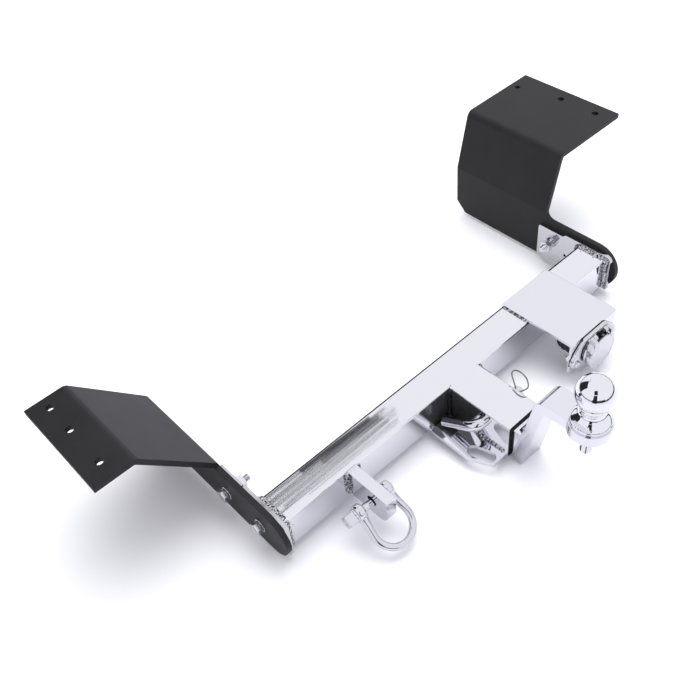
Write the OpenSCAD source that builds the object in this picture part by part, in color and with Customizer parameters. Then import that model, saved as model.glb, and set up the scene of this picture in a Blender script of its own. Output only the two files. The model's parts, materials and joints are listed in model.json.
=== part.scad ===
// Receiver trailer hitch with ball mount, tow shackle and trailer socket, in millimetres.
// The origin is where the receiver's axis meets the cross tube's axis.
// X runs along the cross tube, the ball stands on the -Y side, Z is up.

/* [Cross tube] */
// Length of the cross tube between its end plates
tube_len = 650; // [500:1:800]
// Depth of the cross tube, front to back
tube_depth = 50; // [45:1:60]
// Height of the cross tube
tube_height = 60; // [56:1:70]
// Wall of the cross tube
tube_wall = 4; // [3:0.5:5]
// Outer corner radius of the cross tube
tube_corner = 4; // [2:0.5:4]
// How far the middle of the cross tube lies to the left of the receiver
tube_shift = 3; // [0:1:20]

/* [End plates] */
// Thickness of each end plate
end_plate_t = 6; // [4:1:10]
// How far an end plate stands out in front of the cross tube
end_plate_front = 9; // [4:1:20]
// How far an end plate reaches behind the cross tube
end_plate_rear = 79; // [70:1:110]
// How far the front part of an end plate stands above the cross tube
end_plate_top = 4; // [3:0.5:8]
// Height of the step down to the rear part of an end plate
end_plate_step = 5; // [1:0.5:8]
// Length of the lower rear part of an end plate
end_plate_low_len = 47; // [30:1:60]
// Radius of the front top corner of an end plate
end_plate_corner = 9; // [2:1:14]
// Diameter of the small drain hole in an end plate
drain_hole_d = 5; // [3:0.5:8]

/* [Side brackets] */
// Thickness of both side brackets
bracket_t = 8; // [6:1:10]
// Height of the tongue that bolts to the end plate
tongue_height = 76; // [60:1:90]
// Height of the tongue's centre line above the cross tube's axis
tongue_rise = 2; // [0:1:6]
// How far the round nose of the tongue reaches in front of the cross tube
nose_reach = 17; // [10:1:30]
// Height of the flange's top face above the cross tube's axis
flange_height = 149; // [130:1:170]
// Where the upper part of both brackets begins, behind the cross tube's axis
upper_front = 97; // [92:1:110]
// Radius where the right bracket's tongue turns up into its upper part
tongue_fillet = 13; // [4:1:14]
// Outer radius of the bends in both brackets
bend_r = 12; // [10:1:16]
// Length of the left bracket's upper part
left_upper_len = 165; // [150:1:200]
// Height of the left bracket's lower bend above the cross tube's axis
left_bend_z = 43; // [41:1:60]
// How far the left bracket's slope leans outward
left_slope_out = 95; // [40:1:120]
// Width of the left bracket's flange past its bend
left_flange_w = 58; // [50:1:100]
// Length of the right bracket's upper part
right_upper_len = 190; // [180:1:230]
// Height of the right bracket's lower bend above the cross tube's axis
right_bend_z = 52; // [50:1:60]
// How far the right bracket's slope leans outward
right_slope_out = 26; // [10:1:40]
// Width of the right bracket's flange past its bend
right_flange_w = 146; // [120:1:180]
// Cut across the low rear corner of both brackets
rear_chamfer = 19; // [5:1:30]
// Diameter of the frame bolt holes in both flanges
frame_hole_d = 11; // [9:0.5:14]
// Diameter of the rearmost hole in the right flange
locating_hole_d = 9; // [6:0.5:12]
// Distance of the first frame hole from the flange's front edge
first_hole = 29; // [15:1:40]
// Distance between the first two frame holes in both flanges
frame_pitch = 68; // [50:1:80]
// Distance from the second to the third hole in the left flange
left_last_pitch = 49; // [30:1:55]
// Distance from the second to the third hole in the right flange
right_last_pitch = 78; // [40:1:85]
// Distance of the left frame holes from the flange's outer edge
left_hole_inset = 26; // [15:1:35]
// Distance of the right frame holes from the flange's outer edge
right_hole_inset = 23; // [15:1:60]
// How much farther in the right locating hole lies
locating_inset = 16; // [0:1:30]

/* [Bracket bolts] */
// Thread diameter of the bracket bolts
bolt_d = 10; // [8:1:10]
// Length of the bracket bolts under the head
bolt_len = 40; // [36:1:46]
// Width across flats of the bolt heads and nuts
bolt_af = 17; // [15:1:17]
// Height of the bolt heads
bolt_head_h = 6.4; // [5:0.2:8]
// Height of the nuts
nut_h = 8.4; // [6:0.2:9]
// Outside diameter of the flat washers
washer_d = 20; // [18:1:20]
// Thickness of the flat washers
washer_t = 2; // [1:0.5:3]
// Outside diameter of the spring washers
spring_washer_d = 17; // [15:1:18]
// Thickness of the spring washers
spring_washer_t = 2.5; // [2:0.5:3]
// Distance of the front bolt behind the cross tube's axis
front_bolt_y = 10; // [5:1:10]
// Distance between the two bolts on one side
bolt_pitch = 70; // [60:1:76]
// Clearance round a bolt in its hole
bolt_clearance = 0.5; // [0.2:0.1:1]

/* [Receiver] */
// Outside width and height of the receiver tube
receiver_w = 60; // [60:1:60]
// Wall of the receiver tube
receiver_wall = 5; // [4:0.5:5.5]
// Length of the receiver in front of the cross tube
receiver_len = 107; // [90:1:130]
// Distance of the hitch pin behind the receiver's mouth
pin_from_mouth = 44; // [35:1:55]
// Height of the hitch pin above the receiver's axis
pin_rise = 10; // [0:1:12]

/* [Chain plate] */
// Thickness of the chain plate
chain_plate_t = 6; // [4:1:8]
// How far the chain plate reaches out from the receiver
chain_plate_w = 42; // [40:1:55]
// How far the chain plate stops short of the receiver's mouth
chain_plate_short = 2; // [0:1:10]
// Length of the chain plate's slanted front corner
chain_corner_y = 33; // [20:1:45]
// Width of the chain plate's slanted front corner
chain_corner_x = 16; // [8:1:20]
// Radius of the chain slot
chain_slot_r = 9; // [6:0.5:9]
// Length of the chain slot between its end centres
chain_slot_len = 23; // [15:1:24]
// Lean of the chain slot
chain_slot_lean = 18; // [0:1:20]

/* [Ball mount] */
// Side of the square shank
shank_w = 49; // [45:0.5:49.5]
// How far the shank stands out of the receiver at its top
shank_out = 13; // [8:1:30]
// How far the shank stops short of the cross tube
shank_gap = 10; // [5:1:20]
// Width of the mount's bent bar
bar_w = 40; // [30:1:48]
// Thickness of the mount's bent bar
bar_t = 16; // [12:1:20]
// Lean of the rise away from the vertical
rise_lean = 11; // [0:1:15]
// Height of the shelf's top above the receiver's axis
shelf_height = 105; // [90:1:130]
// How far the rise hangs below the receiver's axis
rise_drop = 40; // [30:1:50]
// Outer radius of the bend between rise and shelf
shelf_bend_r = 19; // [17:1:30]
// Radius of the round boss that carries the ball
boss_r = 28; // [26:1:32]
// Distance of the ball's axis from the receiver's mouth
ball_from_mouth = 95; // [80:1:120]

/* [Hitch ball] */
// Diameter of the hitch ball
ball_d = 50; // [48:0.1:51]
// Height of the ball's centre above the shelf
ball_rise = 51; // [44:1:60]
// Diameter of the ball's neck
neck_d = 28; // [24:1:32]
// Diameter of the ball's base flange
base_d = 52; // [46:1:54]
// Height of the ball's base flange
base_h = 10; // [6:1:12]
// Width across the two spanner flats on the base flange
base_flats = 46; // [42:1:50]
// Diameter of the ball's threaded stud
stud_d = 16; // [14:1:20]
// Length of the stud below the shelf's top
stud_len = 59; // [45:1:64]
// Width across flats of the ball's nut
ball_nut_af = 24; // [22:1:30]
// Height of the ball's nut
ball_nut_h = 11; // [9:1:14]
// Outside diameter of the ball's lock washer
lock_washer_d = 27; // [24:1:30]
// Thickness of the ball's lock washer
lock_washer_t = 3; // [2:0.5:4]

/* [Hitch pin] */
// Diameter of the hitch pin
pin_d = 16; // [12:0.5:16]
// Clearance round the hitch pin in its holes
pin_clearance = 0.1; // [0.1:0.05:0.5]
// How far the pin stands out on the clip side
pin_out = 15; // [12:1:20]
// Centre line radius of the pin's bend
pin_bend_r = 14; // [11:1:16]
// Angle through which the pin bends into its handle
pin_bend_angle = 83; // [80:1:90]
// Straight length of the handle past its bend
handle_len = 47; // [30:1:49]
// Wire diameter of the spring clip
clip_wire_d = 2; // [1.5:0.1:3]
// Distance of the clip hole from the pin's end
clip_from_end = 6; // [4:1:7]
// Radius of the round top of the spring clip
clip_loop_r = 14; // [8:0.5:15]
// Length of the clip's straight leg above the pin's axis
clip_leg = 27; // [24:1:40]
// Lean of the clip's leg away from the vertical
clip_lean = 22; // [0:1:30]

/* [Tow tab and shackle] */
// Thickness of the tow tab
tab_t = 16; // [10:1:20]
// Distance of the tab's middle from the receiver's axis
tab_x = 214; // [150:1:260]
// How far the tab reaches in front of the cross tube
tab_reach = 72; // [60:1:75]
// Height of the tab's top above the cross tube's axis
tab_top = 29; // [20:1:30]
// Depth of the tab's underside below the cross tube's axis
tab_bottom = 18; // [14:1:26]
// Radius of the tab's low front corner
tab_corner = 17; // [5:1:20]
// Distance of the shackle's pin in front of the cross tube
shackle_pin_y = 44; // [42:1:48]
// Height of the shackle's pin above the cross tube's axis
shackle_pin_z = 6; // [2:1:10]
// Diameter of the hole in the tab
tab_hole_d = 16; // [13:0.5:18]
// Diameter of the shackle's pin
shackle_pin_d = 11; // [9:0.5:12]
// Radial running clearance of the shackle's pin in its eyes
eye_clearance = 0.08; // [0.05:0.01:0.1]
// Diameter of the shackle's bow
bow_wire_d = 10.5; // [8:0.5:12]
// Centre line radius of the bow
bow_r = 28.5; // [24:0.5:34]
// Distance of the bow's centre from the pin
bow_reach = 38; // [36:1:48]
// Distance of each leg from the shackle's middle, at the pin
leg_offset = 23.5; // [21:0.5:26]
// Outside diameter of the shackle's eyes
eye_d = 24; // [18:1:26]
// Width of the shackle's eyes
eye_w = 12; // [10:0.5:14]
// How far the shackle hangs left of the tab's middle
shackle_shift = 6; // [0:0.5:7]
// Droop of the shackle below the level
shackle_droop = 30; // [10:1:40]
// Diameter of the collar under the pin's head
collar_d = 20; // [16:1:24]
// Thickness of that collar
collar_t = 3; // [2:0.5:4]
// Side of the pin's square head
shackle_head_w = 16; // [10:1:16]
// Height of the pin's square head
shackle_head_h = 14; // [8:1:16]

/* [Trailer socket] */
// Thickness of the socket's bracket
plate_t = 4; // [3:0.5:5]
// Width of the socket's bracket
plate_w = 102; // [96:1:120]
// Distance of the bracket's left edge from the cross tube's right end
plate_from_end = 184; // [150:1:230]
// How far the bracket's flange stands in front of the cross tube
plate_reach = 78; // [74:1:100]
// Depth of the bracket's flange below the cross tube's axis
plate_drop = 30; // [26:1:36]
// Outer radius of the bracket's bend
plate_bend_r = 5; // [4.5:0.5:10]
// Distance of the socket's axis from the bracket's left edge
socket_x = 47; // [46:1:54]
// Height of the socket's axis above the cross tube's axis
socket_z = 2; // [0:1:2]
// Outside diameter of the rubber boot
boot_d = 54; // [44:1:56]
// Length of the rubber boot behind the flange
boot_len = 40; // [36:1:60]
// Wall of the rubber boot
boot_wall = 3; // [2:0.5:4]
// Diameter of the cable entry at the back of the boot
cable_entry_d = 12; // [8:1:16]
// Thickness of the rubber gasket on the flange
gasket_t = 1; // [0.5:0.25:2]
// Thickness of the housing's flange
housing_t = 6; // [4:1:8]
// Width of the housing's flange
flange_w = 102; // [98:1:110]
// Height of the housing's flange
flange_h = 64; // [60:1:66]
// Cut across each corner of the housing's flange
flange_cut = 26; // [16:1:27]
// Outside diameter of the housing's barrel
barrel_d = 50; // [48:1:54]
// Wall of the housing's barrel
barrel_wall = 4.5; // [3:0.5:6]
// Length of the barrel in front of the housing's flange
barrel_len = 9; // [9:1:14]
// Distance of each mounting screw from the socket's axis
screw_offset = 41; // [39:0.5:43]
// How far the mounting screws lie below the socket's axis
screw_drop = 3; // [0:1:5]
// Thread diameter of the mounting screws
screw_d = 5; // [4:0.5:6]
// Radius of the contact circle
contact_ring_r = 13; // [10:0.5:14]
// Diameter of each contact
contact_d = 5; // [4:0.5:5.5]
// Diameter of the lid
lid_d = 58; // [57:1:62]
// Thickness of the lid
lid_t = 3; // [2:0.5:5]
// Diameter of the lid's hinge pin
hinge_pin_d = 3; // [2:0.5:4]
// Radius of the hinge knuckles
knuckle_r = 4.5; // [3.5:0.5:6]
// Width of the gap between the hinge's outer knuckles
hinge_gap = 30; // [26:1:36]
// Width of each knuckle
knuckle_w = 6; // [4:1:8]
// Height of the hinge pin above the socket's axis
hinge_rise = 31; // [30:1:36]
// Turns of the lid's spring
spring_turns = 7; // [4:1:8]
// Wire diameter of the lid's spring
spring_wire_d = 1.2; // [0.8:0.1:1.4]

/* [Welds] */
// Width of the weld beads along the cross tube and the receiver
bead_w = 6; // [4:0.5:7]
// How far the end beads run along the cross tube
end_bead_w = 8; // [4:0.5:10]

/* [Hidden] */

$fn = 64;
// A cut runs this far past the face that it leaves
over = 1;
// Straight pieces in each rounded corner of an outline
arc_steps = 6;
// Air between faces that only just miss each other
seat_gap = 0.3;
// A round bend is this much thinner than the bars that run into it
bend_step = 0.05;
// A bar runs this far into the bend that follows it
bend_lap = 0.5;
half_turn = 180;
// The slope between the two heights of an end plate, and where its drain hole lies below it
plate_slope = 6;
drain_back = 8;
drain_drop = 6;
// Place of the chain slot's middle, behind the plate's front and inward of its middle
slot_back = 24;
slot_in = 3;
// Cone and grooves of the ball's neck
cone_h = 6;
groove_w = 1;
groove_depth = 0.8;
groove_pitch = 3;
// Air round the spring clip's leg, and where its arm meets the pin
clip_play = 0.2;
clip_tip_angle = 65;
// How far the shackle's pin stands out of its far eye
pin_tail = 1.5;
// Air round the socket's screws and its hinge pin
screw_play = 0.3;
hinge_play = 0.02;
lid_hinge_play = 0.05;
// Depths inside the socket
floor_t = 2;
mouth_depth = 4;
insert_play = 0.1;
contact_len = 20;
contact_wall = 1.1;
contact_bore = 14;
key_w = 4;
key_depth = 3;
// The taper at the back of the boot
taper_len = 8;
taper_r = 6;
// The lid's rim and its arms
lid_gap = 2;
rim_depth = 4;
rim_play = 2;
arm_half_t = 2;
arm_root = 8;
// Steps in one turn of the lid's spring and sides of its wire
coil_steps = 8;
coil_sides = 6;
nut_end = 8;

half_depth = tube_depth / 2;
half_height = tube_height / 2;
tube_left = -tube_shift - tube_len / 2;
tube_right = tube_left + tube_len;
plate_left = tube_left - end_plate_t;
plate_right = tube_right + end_plate_t;

// Heights of the front and the rear part of an end plate
plate_top_z = half_height + end_plate_top;
plate_low_z = plate_top_z - end_plate_step;
plate_rear_y = half_depth + end_plate_rear;
plate_front_y = -half_depth - end_plate_front;
plate_step_y = plate_rear_y - end_plate_low_len;

// The tongue's round nose and straight edges
nose_r = tongue_height / 2;
nose_y = nose_r - half_depth - nose_reach;
tongue_top = tongue_rise + nose_r;
tongue_bottom = tongue_rise - nose_r;

bolt_ys = [front_bolt_y, front_bolt_y + bolt_pitch];
bolt_hole_r = bolt_d / 2 + bolt_clearance;
hex_r = bolt_af / sqrt(3);

mouth_y = -half_depth - receiver_len;
bore_w = receiver_w - 2 * receiver_wall;
pin_y = mouth_y + pin_from_mouth;
pin_hole_r = pin_d / 2 + pin_clearance;

chain_top = -receiver_w / 2 + chain_plate_t;
chain_front_y = mouth_y + chain_plate_short;

// The rise's back face at the shank's top, at its foot and under the shelf
shank_end_y = mouth_y - shank_out;
function rise_y(z) = shank_end_y - (z - shank_w / 2) * tan(rise_lean);
ball_y = mouth_y - ball_from_mouth;
shelf_under = shelf_height - bar_t;

// The handle's end rests just above the chain plate
handle_reach = pin_bend_r * (1 - cos(pin_bend_angle)) + handle_len * sin(pin_bend_angle);
handle_drop = pin_rise - chain_top - seat_gap;
handle_droop = asin(handle_drop / norm([handle_reach, pin_d / 2])) - atan2(pin_d / 2, handle_reach);
pin_bend_x = -receiver_w / 2 - 2;
pin_end_x = receiver_w / 2 + pin_out;
clip_x = pin_end_x - clip_from_end;
clip_r = clip_wire_d / 2;

shackle_y = -half_depth - shackle_pin_y;
shackle_x = -tab_x - shackle_shift;
eye_bore_r = shackle_pin_d / 2 + eye_clearance;
tab_hole_z = shackle_pin_z + tab_hole_d / 2 - shackle_pin_d / 2 - seat_gap;
eye_outer = leg_offset - bow_wire_d / 2 + eye_w;

// The bracket's flange and the stack of pieces in front of it
flange_y = -half_depth - plate_reach;
gasket_y = flange_y - gasket_t;
housing_y = gasket_y - housing_t;
barrel_y = housing_y - barrel_len;
plate_x = tube_right - plate_from_end;
socket_cx = plate_x + socket_x;
barrel_r = barrel_d / 2;
cavity_r = barrel_r - barrel_wall;
spigot_r = boot_d / 2 - boot_wall - seat_gap;
plate_hole_r = spigot_r + 0.5;
plate_top = half_height + plate_t;
lid_back_y = barrel_y - lid_gap;
lid_front_y = lid_back_y - lid_t;
insert_y = barrel_y + mouth_depth;
hinge_y = barrel_y + mouth_depth;
hinge_z = socket_z + hinge_rise;
// The insert stands on the floor at the back of the housing's cavity
floor_y = housing_y + housing_t - floor_t;
spigot_wall = 4;
spigot_len = gasket_t + plate_t + 14;
screw_head_h = 3.5;

// Outline helpers
function unit(v) = v / norm(v);
function arc(c, r, a, turn, n) = [for (i = [0:n]) c + r * [cos(a + turn * i / n), sin(a + turn * i / n)]];
function flat(p) = [p.x, p.y];
function corner(p, q, s, r) =
    let (a = unit(flat(p) - flat(q)), b = unit(flat(s) - flat(q)), half = acos(a * b) / 2,
        c = flat(q) + unit(a + b) * r / sin(half), t = flat(q) + a * r / tan(half) - c,
        u = flat(q) + b * r / tan(half) - c, start = atan2(t.y, t.x),
        past = atan2(u.y, u.x) - start, turn = (past + 3 * half_turn) % (2 * half_turn) - half_turn)
    arc(c, r, start, turn, arc_steps);
// An outline whose third number at each point is the corner's radius
function rounded(pts) = [for (i = [0:len(pts) - 1])
    each (pts[i].z > 0
        ? corner(pts[(i + len(pts) - 1) % len(pts)], pts[i], pts[(i + 1) % len(pts)], pts[i].z)
        : [flat(pts[i])])];
function box_outline(w, h, r) =
    rounded([[-w / 2, -h / 2, r], [w / 2, -h / 2, r], [w / 2, h / 2, r], [-w / 2, h / 2, r]]);
function left_of(v) = [-v.y, v.x];
// A path moved sideways by d, to its left
function shifted(path, d) = [for (i = [0:len(path) - 1])
    let (before = i > 0 ? unit(path[i] - path[i - 1]) : unit(path[1] - path[0]),
        after = i < len(path) - 1 ? unit(path[i + 1] - path[i]) : before,
        n = unit(left_of(before) + left_of(after)))
    path[i] + n * d / (n * left_of(before))];
// A bent strip: the path is one face, t the thickness to its left, and r the radii of its bends
function strip(path, t, face_r, back_r) =
    let (other = shifted(path, t), last = len(path) - 1)
    rounded(concat(
        [for (i = [0:last]) [path[i].x, path[i].y, i == 0 || i == last ? 0 : face_r]],
        [for (k = [0:last]) let (i = last - k) [other[i].x, other[i].y, i == 0 || i == last ? 0 : back_r]]));
// Points and faces of a round wire along a path that stays near one plane
function wire_ring(path, i, r, sides, ref) =
    let (t = unit(path[min(i + 1, len(path) - 1)] - path[max(i - 1, 0)]),
        a = unit(cross(t, ref)), b = cross(a, t))
    [for (k = [0:sides - 1]) path[i] + r * (a * cos(360 * k / sides) + b * sin(360 * k / sides))];

// Extrudes an outline in Y and Z along X
module along_x(x, len) {
    translate([x, 0, 0]) rotate([90, 0, 90]) linear_extrude(len) children();
}

// Extrudes an outline in X and Z along Y
module along_y(y, len) {
    translate([0, y + len, 0]) rotate([90, 0, 0]) linear_extrude(len) children();
}

// A round bar or hole along X
module rod_x(x, y, z, r, len) {
    translate([x, y, z]) rotate([0, 90, 0]) cylinder(h = len, r = r);
}

// A round bar or hole along Y
module rod_y(x, y, z, r, len) {
    translate([x, y, z]) rotate([-90, 0, 0]) cylinder(h = len, r = r);
}

// A box given by its corners
module block(a, b) {
    translate(a) cube(b - a);
}

// A round wire along a path of points
module wire(path, r, sides, ref) {
    n = len(path);
    points = [for (i = [0:n - 1]) each wire_ring(path, i, r, sides, ref)];
    walls = [for (i = [0:n - 2], k = [0:sides - 1], half = [0, 1])
        let (a = i * sides + k, b = i * sides + (k + 1) % sides)
        half == 0 ? [a, b, b + sides] : [a, b + sides, a + sides]];
    near = [for (k = [1:sides - 2]) [0, k + 1, k]];
    far = [for (k = [1:sides - 2]) (n - 1) * sides * [1, 1, 1] + [0, k, k + 1]];
    polyhedron(points, concat(walls, near, far));
}

// One quarter of an ellipse, as wide as a and as high as b, extruded by len
module bead(a, b, len) {
    linear_extrude(len) polygon(concat([[0, 0]], [for (i = [0:arc_steps])
        [a * cos(90 * i / arc_steps), b * sin(90 * i / arc_steps)]]));
}

module cross_tube() {
    color("gainsboro") along_x(tube_left, tube_len) difference() {
        polygon(box_outline(tube_depth, tube_height, tube_corner));
        polygon(box_outline(tube_depth - 2 * tube_wall, tube_height - 2 * tube_wall, tube_corner / 2));
    }
}

// The bolt holes of an end plate or a bracket's tongue
module bolt_holes(x, len) {
    for (y = bolt_ys) rod_x(x - over, y, tongue_rise, bolt_hole_r, len + 2 * over);
}

module end_plate(x) {
    difference() {
        along_x(x, end_plate_t) polygon(rounded([
            [plate_front_y, -half_height, 2], [plate_rear_y, -half_height, 4],
            [plate_rear_y, plate_low_z, 3], [plate_step_y, plate_low_z, 0],
            [plate_step_y - plate_slope, plate_top_z, 0],
            [plate_front_y, plate_top_z, end_plate_corner]]));
        bolt_holes(x, end_plate_t);
        rod_x(x - over, plate_step_y - drain_back, -drain_drop, drain_hole_d / 2,
            end_plate_t + 2 * over);
    }
}

module left_end_plate() {
    color("gainsboro") end_plate(plate_left);
}

module right_end_plate() {
    color("gainsboro") end_plate(tube_right);
}

// The side outline of a bracket: round nose, tongue and upper part
module bracket_side(upper_len, fillet) {
    far = upper_front + upper_len;
    polygon(concat(
        arc([nose_y, tongue_rise], nose_r, 270, -180, 4 * arc_steps),
        fillet > 0 ? arc([upper_front - fillet, tongue_top + fillet], fillet, 270, 90, arc_steps)
            : [[upper_front, tongue_top]],
        [[upper_front, flange_height + over], [far, flange_height + over],
            [far, tongue_bottom + rear_chamfer], [far - rear_chamfer, tongue_bottom]]));
}

// A bracket as its bent strip, cut to the side outline; side is -1 on the left and 1 on the right
module bracket(face, side, upper_len, bend_z, slope_out, flange_w, fillet) {
    far = upper_front + upper_len;
    path = [[face, tongue_bottom - over], [face, bend_z], [face + side * slope_out, flange_height],
        [face + side * (slope_out + flange_w), flange_height]];
    intersection() {
        along_y(nose_y - nose_r - over, far - nose_y + nose_r + 2 * over)
            polygon(strip(path, -side * bracket_t, bend_r, bend_r - bracket_t));
        along_x(min(face, face + side * (slope_out + flange_w)) - bracket_t - over,
            slope_out + flange_w + 2 * bracket_t + 2 * over) bracket_side(upper_len, fillet);
    }
}

module frame_hole(x, y, d) {
    translate([x, y, flange_height - bracket_t - over]) cylinder(h = bracket_t + 2 * over, r = d / 2);
}

left_edge_x = plate_left - left_slope_out - left_flange_w;
right_edge_x = plate_right + right_slope_out + right_flange_w;
left_hole_x = left_edge_x + left_hole_inset;
right_hole_x = right_edge_x - right_hole_inset;

module left_side_bracket() {
    color("#2c2c2e") difference() {
        bracket(plate_left, -1, left_upper_len, left_bend_z, left_slope_out, left_flange_w, 0);
        bolt_holes(plate_left - bracket_t, bracket_t);
        for (d = [first_hole, first_hole + frame_pitch, first_hole + frame_pitch + left_last_pitch])
            frame_hole(left_hole_x, upper_front + d, frame_hole_d);
    }
}

module right_side_bracket() {
    color("#2c2c2e") difference() {
        bracket(plate_right, 1, right_upper_len, right_bend_z, right_slope_out, right_flange_w,
            tongue_fillet);
        bolt_holes(plate_right, bracket_t);
        for (d = [first_hole, first_hole + frame_pitch])
            frame_hole(right_hole_x, upper_front + d, frame_hole_d);
        frame_hole(right_hole_x - locating_inset, upper_front + first_hole + frame_pitch + right_last_pitch,
            locating_hole_d);
    }
}

// The stack on one side starts at the bracket's outer face and runs outward along side
module on_bolts(side, ys) {
    for (y = ys) translate([side < 0 ? plate_left - bracket_t : plate_right + bracket_t, y, tongue_rise])
        rotate([0, side * 90, 0]) children();
}

stack_out = washer_t + spring_washer_t;
inner_face = -bracket_t - end_plate_t;

module ring(outer, bore, t) {
    difference() {
        cylinder(h = t, r = outer);
        translate([0, 0, -over]) cylinder(h = t + 2 * over, r = bore);
    }
}

module bracket_bolts() {
    color("silver") for (side = [-1, 1]) on_bolts(side, bolt_ys) translate([0, 0, stack_out]) {
        cylinder(h = bolt_head_h, r = hex_r, $fn = 6);
        translate([0, 0, -bolt_len]) cylinder(h = bolt_len, r = bolt_d / 2);
    }
}

module bracket_washers() {
    color("silver") for (side = [-1, 1]) {
        on_bolts(side, bolt_ys) ring(washer_d / 2, bolt_hole_r, washer_t);
        on_bolts(side, [bolt_ys[1]]) translate([0, 0, inner_face - washer_t])
            ring(washer_d / 2, bolt_hole_r, washer_t);
    }
}

// A spring washer is a ring with one narrow slanted split
module split_ring(outer, bore, t) {
    difference() {
        ring(outer, bore, t);
        translate([0, bore - over, 0]) rotate([0, 25, 0])
            translate([-0.5, 0, -t]) cube([1, outer - bore + 2 * over, 3 * t]);
    }
}

module bracket_spring_washers() {
    color("silver") for (side = [-1, 1]) {
        on_bolts(side, bolt_ys) translate([0, 0, washer_t])
            split_ring(spring_washer_d / 2, bolt_hole_r, spring_washer_t);
        on_bolts(side, [bolt_ys[1]]) translate([0, 0, inner_face - stack_out])
            split_ring(spring_washer_d / 2, bolt_hole_r, spring_washer_t);
    }
}

// The front nuts sit inside the cross tube, straight on the end plate
module bracket_nuts() {
    color("silver") for (side = [-1, 1]) {
        on_bolts(side, [bolt_ys[0]]) translate([0, 0, inner_face - nut_h]) nut(hex_r, bolt_d / 2, nut_h);
        on_bolts(side, [bolt_ys[1]]) translate([0, 0, inner_face - stack_out - nut_h])
            nut(hex_r, bolt_d / 2, nut_h);
    }
}

module nut(r, bore, h) {
    difference() {
        cylinder(h = h, r = r, $fn = 6);
        translate([0, 0, -over]) cylinder(h = h + 2 * over, r = bore);
    }
}

module receiver_tube() {
    color("gainsboro") difference() {
        along_y(mouth_y, receiver_len) difference() {
            polygon(box_outline(receiver_w, receiver_w, tube_corner));
            polygon(box_outline(bore_w, bore_w, tube_corner / 4));
        }
        rod_x(-receiver_w / 2 - over, pin_y, pin_rise, pin_hole_r, receiver_w + 2 * over);
    }
}

// A plate along the foot of the receiver's left side, with a slot for a safety chain
module chain_plate() {
    side = -receiver_w / 2;
    out = side - chain_plate_w;
    slot_x = side - chain_plate_w / 2 - slot_in;
    slot_y = chain_front_y + slot_back;
    color("gainsboro") translate([0, 0, -receiver_w / 2]) difference() {
        linear_extrude(chain_plate_t) polygon([[side, -half_depth], [out, -half_depth],
            [out, chain_front_y + chain_corner_y], [out + chain_corner_x, chain_front_y],
            [side, chain_front_y]]);
        translate([slot_x, slot_y, -over]) rotate([0, 0, chain_slot_lean]) {
            for (s = [-1, 1]) translate([0, s * chain_slot_len / 2, 0])
                cylinder(h = chain_plate_t + 2 * over, r = chain_slot_r);
            translate([-chain_slot_r, -chain_slot_len / 2, 0])
                cube([2 * chain_slot_r, chain_slot_len, chain_plate_t + 2 * over]);
        }
    }
}

// Square shank, leaning rise and level shelf with a round boss
module ball_mount() {
    half = shank_w / 2;
    rear_y = -half_depth - shank_gap;
    rise = [[rise_y(-rise_drop), -rise_drop], [rise_y(shelf_height), shelf_height], [ball_y, shelf_height]];
    color("gainsboro") difference() {
        union() {
            along_x(-half, shank_w) polygon([[rear_y, -half], [rear_y, half],
                [rise_y(half), half], [rise_y(-half), -half]]);
            along_x(-bar_w / 2, bar_w) polygon(strip(rise, bar_t, shelf_bend_r, shelf_bend_r - bar_t));
            translate([0, ball_y, shelf_under]) cylinder(h = bar_t, r = boss_r);
        }
        translate([0, ball_y, shelf_under - over])
            cylinder(h = bar_t + 2 * over, r = stud_d / 2 + pin_clearance);
        rod_x(-half - over, pin_y, pin_rise, pin_hole_r, shank_w + 2 * over);
    }
}

// Ball, neck with two grooves, base flange with spanner flats, and stud
module hitch_ball() {
    ball_z = shelf_height + ball_rise;
    base_z = shelf_height + base_h;
    color("gainsboro") translate([0, ball_y, 0]) difference() {
        union() {
            translate([0, 0, ball_z]) sphere(r = ball_d / 2);
            translate([0, 0, base_z - over]) cylinder(h = ball_z - base_z, r = neck_d / 2);
            translate([0, 0, base_z]) cylinder(h = cone_h, r1 = neck_d / 2 + cone_h, r2 = neck_d / 2);
            translate([0, 0, shelf_height]) intersection() {
                cylinder(h = base_h, r = base_d / 2);
                translate([-base_flats / 2, -base_d / 2, 0]) cube([base_flats, base_d, base_h]);
            }
            translate([0, 0, shelf_height - stud_len]) cylinder(h = stud_len + over, r = stud_d / 2);
        }
        for (i = [0, 1]) translate([0, 0, base_z + cone_h + 2 * groove_w + i * groove_pitch])
            ring(neck_d / 2 + over, neck_d / 2 - groove_depth, groove_w);
    }
}

module ball_lock_washer() {
    color("silver") translate([0, ball_y, shelf_under - lock_washer_t])
        split_ring(lock_washer_d / 2, stud_d / 2 + pin_clearance, lock_washer_t);
}

module ball_nut() {
    color("silver") translate([0, ball_y, shelf_under - lock_washer_t - ball_nut_h])
        nut(ball_nut_af / sqrt(3), stud_d / 2, ball_nut_h);
}

// Straight pin, bend and handle; the whole is turned so that the handle droops behind
module hitch_pin() {
    r = pin_d / 2;
    color("gainsboro") difference() {
        translate([0, pin_y, pin_rise]) rotate([-handle_droop, 0, 0]) {
            rod_x(pin_bend_x - bend_lap, 0, 0, r, pin_end_x - pin_bend_x + bend_lap);
            translate([pin_bend_x, pin_bend_r, 0]) {
                rotate([0, 0, 270 - pin_bend_angle]) rotate_extrude(angle = pin_bend_angle)
                    translate([pin_bend_r, 0]) circle(r = r - bend_step);
                rotate([0, 0, -pin_bend_angle]) translate([0, -pin_bend_r, 0])
                    rod_x(-handle_len, 0, 0, r, handle_len + bend_lap);
            }
        }
        translate([clip_x, pin_y, pin_rise]) rotate([-clip_lean, 0, 0]) translate([0, 0, -pin_d])
            cylinder(h = 2 * pin_d, r = clip_r + clip_play);
    }
}

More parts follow.
